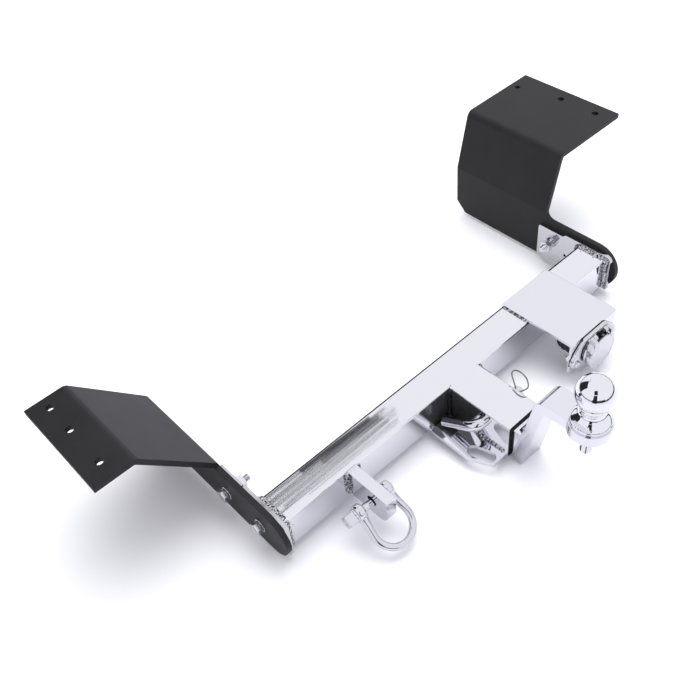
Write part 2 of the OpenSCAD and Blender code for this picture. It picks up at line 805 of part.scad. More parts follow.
// A spring clip: its leg goes down through the pin, its top is a half circle, its arm rests on the pin
module hitch_pin_clip() {
    arm = 2 * clip_loop_r;
    touch = pin_d / 2 + clip_r + clip_play;
    tip = touch * [-sin(clip_tip_angle), cos(clip_tip_angle)];
    knee = rounded([[-arm, clip_leg, 0], [-arm, clip_leg * 0.6, clip_loop_r], [tip.x, tip.y, 0]]);
    path = concat([[0, -pin_d / 2 - 5], [0, clip_leg - 2]],
        arc([-clip_loop_r, clip_leg], clip_loop_r, 0, 180, 2 * arc_steps),
        [for (i = [1:len(knee) - 1]) knee[i]]);
    color("silver") translate([clip_x, pin_y, pin_rise]) rotate([-clip_lean, 0, 0])
        wire([for (p = path) [0, p.x, p.y]], clip_r, 8, [1, 0, 0]);
}

module tow_tab() {
    color("gainsboro") difference() {
        along_x(-tab_x - tab_t / 2, tab_t) polygon(rounded([[-half_depth, -tab_bottom, 0],
            [-half_depth, tab_top, 0], [-half_depth - tab_reach, tab_top, 3],
            [-half_depth - tab_reach, -tab_bottom, tab_corner]]));
        rod_x(-tab_x - tab_t / 2 - over, shackle_y, tab_hole_z, tab_hole_d / 2, tab_t + 2 * over);
    }
}

// The shackle is drawn with its pin along X and its bow towards -Y, then drooped
module on_shackle() {
    translate([shackle_x, shackle_y, shackle_pin_z]) rotate([shackle_droop, 0, 0]) children();
}

module shackle_bow() {
    r = bow_wire_d / 2;
    // The legs lean out until they meet the bow's circle at a tangent
    span = norm([leg_offset, bow_reach]);
    lean = asin(bow_r / span) - atan2(leg_offset, bow_reach);
    leg_len = sqrt(span * span - bow_r * bow_r);
    color("gainsboro") on_shackle() difference() {
        union() {
            translate([0, -bow_reach, 0]) rotate([0, 0, 180 - lean])
                rotate_extrude(angle = 180 + 2 * lean) translate([bow_r, 0]) circle(r = r - bend_step);
            for (s = [-1, 1]) {
                translate([s * leg_offset, 0, 0]) rotate([90, 0, s * lean])
                    cylinder(h = leg_len + bend_lap, r = r);
                rod_x(s * eye_mid - eye_w / 2, 0, 0, eye_d / 2, eye_w);
            }
        }
        rod_x(-2 * leg_offset, 0, 0, eye_bore_r, 4 * leg_offset);
    }
}

eye_mid = eye_outer - eye_w / 2;

// Square head, collar and round pin
module shackle_pin() {
    color("gainsboro") on_shackle() {
        rod_x(-eye_outer - over, 0, 0, shackle_pin_d / 2, 2 * eye_outer + over + pin_tail);
        rod_x(-eye_outer - collar_t, 0, 0, collar_d / 2, collar_t);
        translate([-eye_outer - collar_t - shackle_head_h, -shackle_head_w / 2, -shackle_head_w / 2])
            cube([shackle_head_h, shackle_head_w, shackle_head_w]);
    }
}

// Where the two mounting screws go
module on_screws() {
    for (s = [-1, 1]) translate([socket_cx + s * screw_offset, 0, socket_z - screw_drop]) children();
}

// Flat on the cross tube, bent down in front, with a round window for the socket
module socket_bracket() {
    path = [[half_depth, half_height], [flange_y + plate_t, half_height], [flange_y + plate_t, -plate_drop]];
    cut = 12;
    color("gainsboro") difference() {
        along_x(plate_x, plate_w) polygon(strip(path, -plate_t, plate_bend_r - plate_t, plate_bend_r));
        rod_y(socket_cx, flange_y - over, socket_z, plate_hole_r, plate_t + 2 * over);
        on_screws() rod_y(0, flange_y - over, 0, screw_d / 2 + screw_play, plate_t + 2 * over);
        for (x = [plate_x, plate_x + plate_w]) translate([x, flange_y - over, -plate_drop])
            rotate([0, 45, 0]) translate([-cut / 2, 0, -cut / 2]) cube([cut, plate_t + 2 * over, cut]);
    }
}

// The outline that gasket and housing share, between two heights along Y
module socket_outline(y, t) {
    w = flange_w / 2;
    h = flange_h / 2;
    translate([socket_cx, 0, socket_z]) along_y(y, t) polygon([
        [-w, flange_cut - h], [flange_cut - w, -h], [w - flange_cut, -h], [w, flange_cut - h],
        [w, h - flange_cut], [w - flange_cut, h], [flange_cut - w, h], [-w, h - flange_cut]]);
}

module screw_bores(y, t) {
    on_screws() rod_y(0, y - over, 0, screw_d / 2 + screw_play, t + 2 * over);
}

module socket_gasket() {
    color("#1c1c1e") difference() {
        socket_outline(gasket_y, gasket_t);
        rod_y(socket_cx, gasket_y - over, socket_z, plate_hole_r, gasket_t + 2 * over);
        screw_bores(gasket_y, gasket_t);
    }
}

// The housing's own knuckles lie inside the lid's
module housing_knuckles() {
    inner = hinge_gap / 2;
    for (s = [-1, 1]) {
        x = socket_cx + s * (inner - knuckle_w / 2) - knuckle_w / 2;
        rod_x(x, hinge_y, hinge_z, knuckle_r, knuckle_w);
        block([x, barrel_y, socket_z + cavity_r + 2], [x + knuckle_w, housing_y + housing_t, hinge_z]);
    }
}

module socket_housing() {
    color("#242426") difference() {
        union() {
            socket_outline(housing_y, housing_t);
            rod_y(socket_cx, barrel_y, socket_z, barrel_r, barrel_len + over);
            rod_y(socket_cx, housing_y, socket_z, spigot_r, housing_t + spigot_len);
            housing_knuckles();
        }
        rod_y(socket_cx, barrel_y - over, socket_z, cavity_r, floor_y - barrel_y + over);
        rod_y(socket_cx, floor_y - over, socket_z, spigot_r - spigot_wall,
            housing_t + spigot_len + 2 * over);
        screw_bores(housing_y, housing_t);
        rod_x(socket_cx - hinge_gap, hinge_y, hinge_z, hinge_pin_d / 2 + hinge_play, 2 * hinge_gap);
    }
}

// Places of the seven contacts: one in the middle and six round it
contact_places = concat([[0, 0]], [for (i = [0:5]) contact_ring_r * [cos(60 * i + 30), sin(60 * i + 30)]]);

module at_contacts() {
    for (p = contact_places) translate([socket_cx + p.x, 0, socket_z + p.y]) children();
}

module socket_insert() {
    depth = floor_y - insert_y;
    color("#3a3a3c") difference() {
        rod_y(socket_cx, insert_y, socket_z, cavity_r - insert_play, depth);
        at_contacts() rod_y(0, insert_y - over, 0, contact_d / 2, depth + 2 * over);
        block([socket_cx - key_w / 2, insert_y - over, socket_z + cavity_r - key_depth],
            [socket_cx + key_w / 2, insert_y + depth + over, socket_z + cavity_r + over]);
    }
}

module socket_contacts() {
    color("goldenrod") at_contacts() difference() {
        rod_y(0, insert_y + over, 0, contact_d / 2, contact_len);
        rod_y(0, insert_y, 0, contact_d / 2 - contact_wall, contact_bore);
    }
}

module socket_boot() {
    back = flange_y + plate_t;
    color("#1c1c1e") difference() {
        union() {
            rod_y(socket_cx, back, socket_z, boot_d / 2, boot_len - taper_len);
            translate([socket_cx, back + boot_len - taper_len, socket_z]) rotate([-90, 0, 0])
                cylinder(h = taper_len, r1 = boot_d / 2, r2 = boot_d / 2 - taper_r);
        }
        rod_y(socket_cx, back - over, socket_z, boot_d / 2 - boot_wall,
            boot_len - boot_wall - taper_r);
        rod_y(socket_cx, back, socket_z, cable_entry_d / 2, boot_len + over);
    }
}

module socket_lid() {
    arm_x = hinge_gap / 2 + seat_gap;
    color("#242426") difference() {
        union() {
            rod_y(socket_cx, lid_front_y, socket_z, lid_d / 2, lid_t);
            difference() {
                rod_y(socket_cx, lid_back_y - over, socket_z, lid_d / 2, over + rim_depth);
                rod_y(socket_cx, lid_back_y - 2 * over, socket_z, barrel_r + rim_play, 2 * rim_depth);
                block([socket_cx - arm_x, lid_back_y, socket_z], [socket_cx + arm_x, hinge_y, hinge_z]);
            }
            for (s = [-1, 1]) {
                x = socket_cx + s * (arm_x + knuckle_w / 2) - knuckle_w / 2;
                rod_x(x, hinge_y, hinge_z, knuckle_r, knuckle_w);
                block([x, lid_front_y, socket_z + lid_d / 2 - arm_root],
                    [x + knuckle_w, lid_back_y, hinge_z + arm_half_t]);
                block([x, lid_front_y, hinge_z - arm_half_t],
                    [x + knuckle_w, hinge_y, hinge_z + arm_half_t]);
            }
        }
        rod_x(socket_cx - hinge_gap, hinge_y, hinge_z, hinge_pin_d / 2 + lid_hinge_play, 2 * hinge_gap);
    }
}

module lid_seal() {
    color("#1c1c1e") difference() {
        rod_y(socket_cx, lid_back_y, socket_z, barrel_r + 1, barrel_y - lid_back_y - seat_gap);
        rod_y(socket_cx, lid_back_y - over, socket_z, cavity_r - over, 3 * lid_gap);
    }
}

module lid_hinge_pin() {
    reach = hinge_gap / 2 + seat_gap + knuckle_w;
    color("silver") rod_x(socket_cx - reach, hinge_y, hinge_z, hinge_pin_d / 2, 2 * reach);
}

// A torsion spring wound on the hinge pin, with a tail down to the housing and one to the lid
module lid_spring() {
    coil_r = hinge_pin_d / 2 + spring_wire_d / 2 + seat_gap;
    width = hinge_gap - 2.5 * knuckle_w;
    steps = coil_steps * spring_turns;
    color("silver") translate([socket_cx - width / 2, hinge_y, hinge_z])
        wire([for (i = [0:steps]) let (a = 2 * half_turn * i / coil_steps + 90)
            [width * i / steps, coil_r * cos(a), coil_r * sin(a)]],
            spring_wire_d / 2, coil_sides, [1, 0, 0]);
}

module socket_screws() {
    color("silver") on_screws() {
        rod_y(0, housing_y - screw_head_h, 0, screw_d * 0.9, screw_head_h);
        rod_y(0, housing_y - over, 0, screw_d / 2, over + housing_t + gasket_t + plate_t + nut_end);
    }
}

module socket_washers() {
    color("silver") on_screws() rotate([-90, 0, 0]) translate([0, 0, flange_y + plate_t])
        ring(screw_d, screw_d / 2 + screw_play, over);
}

module socket_nuts() {
    color("silver") on_screws() rotate([-90, 0, 0]) translate([0, 0, flange_y + plate_t + over])
        nut(screw_d * 0.92, screw_d / 2, screw_d * 0.8);
}

// Beads where the cross tube meets its end plates: above, in front and behind
module end_weld_beads() {
    flat_w = tube_depth - 2 * tube_corner;
    flat_h = tube_height - 2 * tube_corner;
    color("gray") for (side = [-1, 1])
        translate([side < 0 ? tube_left : tube_right, 0, 0]) scale_x(-side) {
            translate([0, flat_w / 2, half_height]) rotate([90, 0, 0])
                bead(end_bead_w, end_plate_top, flat_w);
            translate([0, half_depth, -flat_h / 2]) bead(end_bead_w, bead_w, flat_h);
            translate([0, -half_depth, flat_h / 2]) rotate([180, 0, 0]) bead(end_bead_w, bead_w, flat_h);
        }
}

// Turns a shape over left to right where s is negative
module scale_x(s) {
    if (s < 0) mirror([1, 0, 0]) children();
    else children();
}

// Upright beads beside the receiver, and the beads along the chain plate's two seams
module receiver_weld_beads() {
    flat_h = receiver_w - 2 * tube_corner;
    side = receiver_w / 2;
    color("gray") {
        translate([side, -half_depth, flat_h / 2]) rotate([180, 0, 0]) bead(bead_w, bead_w, flat_h);
        translate([-side, -half_depth, chain_top]) mirror([1, 0, 0]) mirror([0, 1, 0])
            bead(bead_w, bead_w, flat_h / 2 - chain_top);
        translate([-side, -half_depth - bead_w, chain_top]) rotate([90, 0, 0]) mirror([1, 0, 0])
            bead(bead_w - 1, bead_w - 1, receiver_len - chain_plate_short - bead_w - 4);
        translate([-side - bead_w, -half_depth, chain_top]) rotate([0, -90, 0]) mirror([0, 1, 0])
            bead(bead_w - 1, bead_w - 1, chain_plate_w - bead_w - 2);
    }
}

// Beads beside the tow tab and along both edges of the socket's bracket
module fitting_weld_beads() {
    flat_w = tube_depth - 2 * tube_corner;
    tab_h = tab_top + tab_bottom - 4;
    color("gray") {
        for (s = [-1, 1]) translate([-tab_x + s * tab_t / 2, -half_depth, 2 - tab_bottom])
            scale_x(s) mirror([0, 1, 0]) bead(bead_w, bead_w, tab_h);
        for (s = [-1, 1]) translate([plate_x + (s > 0 ? plate_w : 0), flat_w / 2, half_height])
            scale_x(s) rotate([90, 0, 0]) bead(bead_w, plate_t, flat_w);
    }
}

// The bead in the corner between the shank's top and the rise
module mount_weld_bead() {
    w = bead_w + 1;
    z = shank_w / 2;
    color("gray") along_x(-bar_w / 2, bar_w) polygon(concat([[rise_y(z), z]],
        [for (i = [0:arc_steps]) let (a = (90 + rise_lean) * i / arc_steps)
            [rise_y(z) + w * cos(a), z + w * sin(a)]]));
}

cross_tube();
left_end_plate();
right_end_plate();
left_side_bracket();
right_side_bracket();
bracket_bolts();
bracket_washers();
bracket_spring_washers();
bracket_nuts();
receiver_tube();
chain_plate();
ball_mount();
hitch_ball();
ball_lock_washer();
ball_nut();
hitch_pin();
hitch_pin_clip();
tow_tab();
shackle_bow();
shackle_pin();
socket_bracket();
socket_gasket();
socket_housing();
socket_insert();
socket_contacts();
socket_boot();
socket_lid();
lid_seal();
lid_hinge_pin();
lid_spring();
socket_screws();
socket_washers();
socket_nuts();
end_weld_beads();
receiver_weld_beads();
fitting_weld_beads();
mount_weld_bead();
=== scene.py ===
import json
import math
import random

import bmesh
import bpy
from mathutils import Matrix, Vector


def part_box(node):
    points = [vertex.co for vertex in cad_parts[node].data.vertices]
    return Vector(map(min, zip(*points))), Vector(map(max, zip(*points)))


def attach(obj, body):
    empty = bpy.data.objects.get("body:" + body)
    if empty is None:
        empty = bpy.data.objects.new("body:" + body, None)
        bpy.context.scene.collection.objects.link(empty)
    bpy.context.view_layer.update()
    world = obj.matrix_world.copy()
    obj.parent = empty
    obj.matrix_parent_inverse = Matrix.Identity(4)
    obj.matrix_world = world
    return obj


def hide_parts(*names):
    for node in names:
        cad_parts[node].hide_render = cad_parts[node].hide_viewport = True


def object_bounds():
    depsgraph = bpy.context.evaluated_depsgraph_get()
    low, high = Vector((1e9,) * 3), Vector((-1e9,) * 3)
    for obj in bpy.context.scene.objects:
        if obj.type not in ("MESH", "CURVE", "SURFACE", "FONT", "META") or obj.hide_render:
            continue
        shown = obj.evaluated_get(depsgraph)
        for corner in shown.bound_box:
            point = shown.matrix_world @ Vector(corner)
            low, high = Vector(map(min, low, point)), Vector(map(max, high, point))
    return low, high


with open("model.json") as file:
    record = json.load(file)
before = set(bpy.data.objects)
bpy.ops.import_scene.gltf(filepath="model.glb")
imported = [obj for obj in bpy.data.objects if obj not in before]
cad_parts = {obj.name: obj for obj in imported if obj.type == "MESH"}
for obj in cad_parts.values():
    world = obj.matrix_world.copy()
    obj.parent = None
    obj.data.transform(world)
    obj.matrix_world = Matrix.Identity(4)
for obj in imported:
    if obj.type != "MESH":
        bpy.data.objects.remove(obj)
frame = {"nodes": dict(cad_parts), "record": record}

cad_box = [list(corner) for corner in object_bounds()]

MM = 0.001
NODES = frame["nodes"]
RECORD = frame["record"]
JOINTS = {joint["name"]: joint for joint in RECORD["behaviour"]["joints"]}
SLOTS = {part["node"]: part["material_slot"] for part in RECORD["subparts"]}
X, Y, Z = Vector((1, 0, 0)), Vector((0, 1, 0)), Vector((0, 0, 1))


# Places in millimetres, read from the CAD's boxes and joints

def low(node):
    return Vector(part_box(node)[0]) / MM


def high(node):
    return Vector(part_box(node)[1]) / MM


def middle(node):
    return (low(node) + high(node)) / 2


def pivot(joint):
    return Vector(JOINTS[joint]["pos_m"]) / MM


# Colours and materials

def srgb(hex_code):
    """A colour such as D8D8DE as linear red, green, blue and alpha."""
    channels = [int(hex_code[i:i + 2], 16) / 255 for i in (0, 2, 4)]
    return [c / 12.92 if c <= 0.04045 else ((c + 0.055) / 1.055) ** 2.4 for c in channels] + [1.0]


def connect(tree, node, *values, **named):
    """Fills inputs in order or by name: a node or a socket is linked, anything else is a constant."""
    filled = [(node.inputs[k], value) for k, value in enumerate(values)]
    filled += [(node.inputs[name.replace("_", " ")], value) for name, value in named.items()]
    for socket, value in filled:
        if isinstance(value, bpy.types.Node):
            value = value.outputs[0]
        if isinstance(value, bpy.types.NodeSocket):
            tree.links.new(value, socket)
        else:
            socket.default_value = value


def add(tree, kind, *values, settings=None, stops=(), **named):
    """Adds a shader node with its properties, its inputs and a ramp's stops: both ends, then any between."""
    node = tree.nodes.new("ShaderNode" + kind)
    for name, value in (settings or {}).items():
        setattr(node, name, value)
    for k, (place, colour) in enumerate(stops):
        stop = node.color_ramp.elements[k] if k < 2 else node.color_ramp.elements.new(place)
        stop.position = place
        stop.color = srgb(colour)
    connect(tree, node, *values, **named)
    return node


def new_material(name, colour, roughness, metallic):
    material = bpy.data.materials.new(name)
    material.use_nodes = True
    tree = material.node_tree
    shader = tree.nodes["Principled BSDF"]
    connect(tree, shader, Base_Color=srgb(colour), Roughness=roughness, Metallic=metallic)
    return material, tree, shader


def patterned_material(name, colour, roughness, metallic):
    """A new material, together with the place on the object that its patterns follow."""
    material, tree, shader = new_material(name, colour, roughness, metallic)
    return material, tree, shader, add(tree, "TexCoord").outputs["Object"]


# Reach, lean and lip of the painted shade in the closed corner
SHADE_REACH_MM = (28, 31)
SHADE_LEAN = 0.53
SHADE_LIP_MM = (0.6, 0.3)


def painted_corner_shade(tree, spot):
    """Painted shade: grows to 0.9 in the closed corner of tube, receiver and chain plate, where it stands in
    for the dark reflection.
    """
    corner_x, corner_y = low("receiver_tube").x, low("cross_tube").y
    bottom, top = low("cross_tube").z, high("cross_tube").z
    x, y, z = add(tree, "SeparateXYZ", spot).outputs
    away_x = add(tree, "Math", corner_x * MM, x, settings={"operation": "SUBTRACT"})
    away_y = add(tree, "Math", corner_y * MM, y, settings={"operation": "SUBTRACT"})
    furthest = add(tree, "Math", away_x, away_y, settings={"operation": "MAXIMUM"})
    nearest = add(tree, "Math", away_x, away_y, settings={"operation": "MINIMUM"})
    # The painted shade reaches some 30 mm out along the plate and twice as far along the tubes' upper edges
    leaning = add(tree, "Math", z, -SHADE_LEAN, furthest, settings={"operation": "MULTIPLY_ADD"})
    mottle = add(tree, "TexNoise", Vector=spot, Scale=1 / (5 * MM), Detail=3.0)
    # The painted shade is mottled a little where it is deepest
    shade_peak = add(tree, "MapRange", Value=mottle, From_Min=0.35, From_Max=0.7, To_Min=0.9, To_Max=0.86)
    near, far = ((reach - SHADE_LEAN * bottom) * MM for reach in SHADE_REACH_MM)
    faded = add(tree, "MapRange", Value=leaning, From_Min=near, From_Max=far, To_Min=shade_peak, To_Max=0.0)
    within = add(tree, "MapRange", Value=nearest, From_Min=-0.5 * MM, From_Max=-0.1 * MM, To_Max=faded)
    under, over = ((top - lip) * MM for lip in SHADE_LIP_MM)
    return add(tree, "MapRange", Value=z, From_Min=under, From_Max=over, To_Min=within, To_Max=0.0)


def shaded_metallic(tree, shade_in_corner):
    """The metallic value under the painted corner shade: lowered there, so that the painted dark looks dull.
    """
    return add(tree, "MapRange", Value=shade_in_corner, From_Max=0.9, To_Min=1.0, To_Max=0.35)


def chromed_tube(name, edge_mm, sawn_end=None):
    """Bright chrome over box section ground lengthwise: grinding lines show as streaks along X."""
    material, tree, shader, spot = patterned_material(name, "ECECF1", 0.05, 1.0)
    # Real grinding lines are too fine to show, so these are 5 mm apart and some 250 mm long
    drawn = add(tree, "Mapping", Vector=spot, Scale=(0.02, 1, 1))
    lines = add(tree, "TexNoise", Vector=drawn, Scale=1 / (5 * MM), Detail=1.0)
    edge = add(tree, "Bevel", settings={"samples": 6}, Radius=edge_mm * MM)
    relief = add(tree, "Bump", Height=lines, Normal=edge, Distance=0.012 * MM, Strength=1.0)
    haze = add(tree, "TexNoise", Vector=drawn, Scale=1 / (9 * MM))
    rough = add(tree, "MapRange", Value=haze, From_Min=0.35, From_Max=0.7, To_Min=0.025, To_Max=0.06)
    # A painted dark reflection runs along the rounded upper rear edge, found by the way it faces
    faced = add(tree, "SeparateXYZ", add(tree, "NewGeometry").outputs["Normal"])
    rounded = add(tree, "MapRange", Value=faced.outputs["Z"], From_Min=0.2, From_Max=0.35)
    black = add(tree, "MapRange", Value=faced.outputs["Y"], From_Min=0.04, From_Max=0.12, To_Max=rounded)
    # The painted shade of the closed corner joins the painted edge reflection
    shade_in_corner = painted_corner_shade(tree, spot)
    dark = add(tree, "Math", black, shade_in_corner, settings={"operation": "MAXIMUM"})
    if sawn_end is not None:
        # The sawn end face is painted dark, as a painted dark reflection
        depth = add(tree, "SeparateXYZ", spot).outputs["Y"]
        past = add(tree, "Math", depth, (sawn_end + 0.4) * MM, settings={"operation": "LESS_THAN"})
        dark = add(tree, "Math", dark, past, settings={"operation": "MAXIMUM"})
    # The base colour goes dark under the painted reflections and the painted corner shade
    tones = add(tree, "ValToRGB", dark, stops=((0, "ECECF1"), (1, "29292C"), (0.9, "46464A")))
    # The tint keeps the painted reflection and shade dark where they are seen at a slant
    painted_dark_tint = add(tree, "ValToRGB", dark, stops=((0, "FFFFFF"), (1, "BCBCBC")))
    connect(tree, shader, Base_Color=tones, Metallic=shaded_metallic(tree, shade_in_corner), Roughness=rough, Normal=relief,
            Specular_Tint=painted_dark_tint)
    return material


def chromed_plate(name, colour):
    """Bright chrome over flat bar and plate: a mirror with a faint waviness from rolling."""
    material, tree, shader, spot = patterned_material(name, colour, 0.07, 1.0)
    # Waves of about 22 mm from the rolls
    waves = add(tree, "TexNoise", Vector=spot, Scale=1 / (22 * MM), Detail=1.0)
    edge = add(tree, "Bevel", settings={"samples": 6}, Radius=0.7 * MM)
    relief = add(tree, "Bump", Height=waves, Normal=edge, Distance=0.05 * MM, Strength=1.0)
    haze = add(tree, "TexNoise", Vector=spot, Scale=1 / (7 * MM), Detail=4.0)
    rough = add(tree, "MapRange", Value=haze, From_Min=0.35, From_Max=0.7, To_Min=0.05, To_Max=0.14)
    # Painted shade darkens the plate in the closed corner beside the receiver
    shade_in_corner = painted_corner_shade(tree, spot)
    tones = add(tree, "ValToRGB", shade_in_corner, stops=((0, colour), (0.9, "46464A")))
    connect(tree, shader, Base_Color=tones, Metallic=shaded_metallic(tree, shade_in_corner), Roughness=rough, Normal=relief)
    return material


def chromed_forging():
    """Bright chrome over forged and turned steel: a deep mirror, slightly dented where it was forged."""
    material, tree, shader, spot = patterned_material("chrome_plated_forging", "DDDDE3", 0.06, 1.0)
    dents = add(tree, "TexNoise", Vector=spot, Scale=1 / (6 * MM), Detail=1.0)
    relief = add(tree, "Bump", Height=dents, Distance=0.05 * MM, Strength=1.0)
    haze = add(tree, "TexNoise", Vector=spot, Scale=1 / (2.5 * MM), Detail=4.0)
    rough = add(tree, "MapRange", Value=haze, From_Min=0.4, From_Max=0.7, To_Min=0.03, To_Max=0.12)
    connect(tree, shader, Roughness=rough, Normal=relief)
    return material


def turned_chrome():
    """Chrome over a turned ball: an even mirror with hardly visible lathe rings round the upright axis."""
    material, tree, shader, spot = patterned_material("chrome_plated_turned_steel", "ECECF2", 0.04, 1.0)
    # Lathe rings are drawn 1.5 mm apart, coarser than real ones
    rings = add(tree, "Mapping", Vector=spot, Scale=(0.05, 0.05, 1))
    lathe = add(tree, "TexNoise", Vector=rings, Scale=1 / (1.5 * MM))
    relief = add(tree, "Bump", Height=lathe, Distance=0.004 * MM, Strength=1.0)
    specks = add(tree, "TexNoise", Vector=spot, Scale=1 / (3 * MM), Detail=5.0)
    rough = add(tree, "MapRange", Value=specks, From_Min=0.55, From_Max=0.75, To_Min=0.02, To_Max=0.12)
    connect(tree, shader, Roughness=rough, Normal=relief)
    return material


def plated_weld():
    """Arc weld under thin plating: duller and more pitted than the ground steel beside it."""
    material, tree, shader, spot = patterned_material("chrome_plated_weld_bead", "9A9AA0", 0.3, 1.0)
    # Slag pits of about a millimetre, with soot left in them; in the closed corner the bead is darkened
    # further by painted shade
    pits = add(tree, "TexNoise", Vector=spot, Scale=1 / (2.4 * MM), Detail=3.0)
    pits_and_shade = add(tree, "MapRange", Value=painted_corner_shade(tree, spot), To_Min=pits, To_Max=0.4)
    soot_and_shade_colour = add(tree, "ValToRGB", pits_and_shade, stops=((0.42, "343438"), (0.6, "E4E4E9")))
    relief = add(tree, "Bump", Height=pits, Distance=0.5 * MM, Strength=1.0)
    connect(tree, shader, Base_Color=soot_and_shade_colour, Normal=relief)
    return material


def black_powder_coat():
    """Satin powder coat on steel plate: a soft sheen broken by a fine orange peel."""
    material, tree, shader, spot = patterned_material("satin_black_powder_coat", "262628", 0.42, 0.0)
    # Orange peel is about 1 mm across
    peel = add(tree, "TexNoise", Vector=spot, Scale=1 / (1.3 * MM), Detail=3.0)
    edge = add(tree, "Bevel", settings={"samples": 6}, Radius=0.9 * MM)
    relief = add(tree, "Bump", Height=peel, Normal=edge, Distance=0.06 * MM, Strength=1.0)
    cloud = add(tree, "TexNoise", Vector=spot, Scale=1 / (45 * MM), Detail=3.0)
    shade = add(tree, "ValToRGB", cloud, stops=((0, "222224"), (1, "2C2C2F")))
    rough = add(tree, "MapRange", Value=cloud, To_Min=0.36, To_Max=0.5)
    connect(tree, shader, Base_Color=shade, Roughness=rough, Normal=relief, Specular_IOR_Level=0.16)
    return material


def zinc_plate():
    """Bright zinc on rolled fasteners: silvery, finely mottled, less mirror-like than chrome."""
    material, tree, shader, spot = patterned_material("bright_zinc_plate", "CDCFD4", 0.2, 1.0)
    # The grain of the zinc, drawn coarse at 1.2 mm
    mottle = add(tree, "TexNoise", Vector=spot, Scale=1 / (1.2 * MM), Detail=3.0)
    shade = add(tree, "ValToRGB", mottle, stops=((0, "D6D8DD"), (1, "F6F7FA")))
    rough = add(tree, "MapRange", Value=mottle, To_Min=0.12, To_Max=0.22)
    relief = add(tree, "Bump", Height=mottle, Distance=0.004 * MM, Strength=1.0)
    connect(tree, shader, Base_Color=shade, Roughness=rough, Normal=relief)
    return material


def spring_wire_steel(name, colour):
    """Drawn spring steel: a darker metal, its sheen broken up finely by the die."""
    material, tree, shader, spot = patterned_material(name, colour, 0.24, 1.0)
    lines = add(tree, "TexNoise", Vector=spot, Scale=1 / (0.6 * MM), Detail=2.0)
    rough = add(tree, "MapRange", Value=lines, To_Min=0.14, To_Max=0.36)
    relief = add(tree, "Bump", Height=lines, Distance=0.01 * MM, Strength=1.0)
    connect(tree, shader, Roughness=rough, Normal=relief)
    return material


def die_cast_alloy():
    """Bright die cast alloy: pale, with the soft sheen and small swirls of a tumbled casting."""
    material, tree, shader, spot = patterned_material("die_cast_alloy", "DEDEE4", 0.24, 1.0)
    swirls = add(tree, "Mapping", Vector=spot, Scale=(1, 1, 0.5))
    flow = add(tree, "TexNoise", Vector=swirls, Scale=1 / (3.5 * MM), Detail=3.0)
    shade = add(tree, "ValToRGB", flow, stops=((0.3, "D4D4DA"), (0.65, "DFDFE4")))
    rough = add(tree, "MapRange", Value=flow, To_Min=0.1, To_Max=0.22)
    edge = add(tree, "Bevel", settings={"samples": 4}, Radius=0.5 * MM)
    relief = add(tree, "Bump", Height=flow, Normal=edge, Distance=0.003 * MM, Strength=1.0)
    connect(tree, shader, Base_Color=shade, Roughness=rough, Normal=relief)
    return material


def moulded_grey():
    """Dark grey nylon, moulded: the insert that carries the contacts."""
    material, tree, shader, spot = patterned_material("moulded_grey_nylon", "3A3A3D", 0.5, 0.0)
    grain = add(tree, "TexNoise", Vector=spot, Scale=1 / (0.7 * MM))
    connect(tree, shader, Normal=add(tree, "Bump", Height=grain, Distance=0.02 * MM, Strength=1.0))
    return material


def black_rubber():
    """Moulded black rubber: dull, a little dusty, with a soft skin texture."""
    material, tree, shader, spot = patterned_material("moulded_black_rubber", "171718", 0.62, 0.0)
    grain = add(tree, "TexNoise", Vector=spot, Scale=1 / (1.2 * MM), Detail=3.0)
    dust = add(tree, "ValToRGB", grain, stops=((0, "131314"), (1, "262628")))
    relief = add(tree, "Bump", Height=grain, Distance=0.05 * MM, Strength=1.0)
    connect(tree, shader, Base_Color=dust, Normal=relief)
    return material


def contact_brass():
    """Turned brass contacts: warm yellow metal, its sheen broken up finely by the lathe."""
    material, tree, shader, spot = patterned_material("turned_brass", "C9A24F", 0.24, 1.0)
    marks = add(tree, "TexNoise", Vector=spot, Scale=1 / (0.4 * MM))
    connect(tree, shader, Roughness=add(tree, "MapRange", Value=marks, To_Min=0.14, To_Max=0.36))
    return material


TUBE = chromed_tube("chrome_plated_ground_tube", 0.6)
SEAM = chromed_tube("chrome_plated_ground_seam", 0.05)
RECEIVER = chromed_tube("chrome_plated_receiver", 0.6, low("receiver_tube").y)
PLATE = chromed_plate("chrome_plated_rolled_plate", "E9E9F0")
# The end plates take a darker copy of the plate's chrome
END_PLATE = chromed_plate("darker_chrome_on_end_plate", "D2D2D5")
FORGING = chromed_forging()
TURNED = turned_chrome()
WELD = plated_weld()
POWDER = black_powder_coat()
ZINC = zinc_plate()
SPRING = spring_wire_steel("drawn_spring_steel", "8E8E94")
BLACKENED = spring_wire_steel("blackened_spring_wire", "232326")
ALLOY = die_cast_alloy()
NYLON = moulded_grey()
RUBBER = black_rubber()
BRASS = contact_brass()

FINISHES = {
    "polished_chrome": PLATE, "chromed_pin": FORGING, "black_powder_coat": POWDER,
    "zinc_fastener": ZINC, "spring_steel": SPRING, "weld_metal": WELD, "cast_alloy": ALLOY,
    "grey_plastic": NYLON, "black_rubber": RUBBER, "contact_brass": BRASS}
OWN_FINISH = {
    "cross_tube": TUBE, "receiver_tube": RECEIVER, "left_end_plate": END_PLATE, "right_end_plate": END_PLATE}


def dress_frame():
    """Gives every CAD node the finish of its slot, and the tubes and end plates their own."""
    for name, node in NODES.items():
        node.data.materials.clear()
        node.data.materials.append(OWN_FINISH.get(name) or FINISHES[SLOTS[name]])


# Mesh helpers; every length is in millimetres until skin() writes it in metres

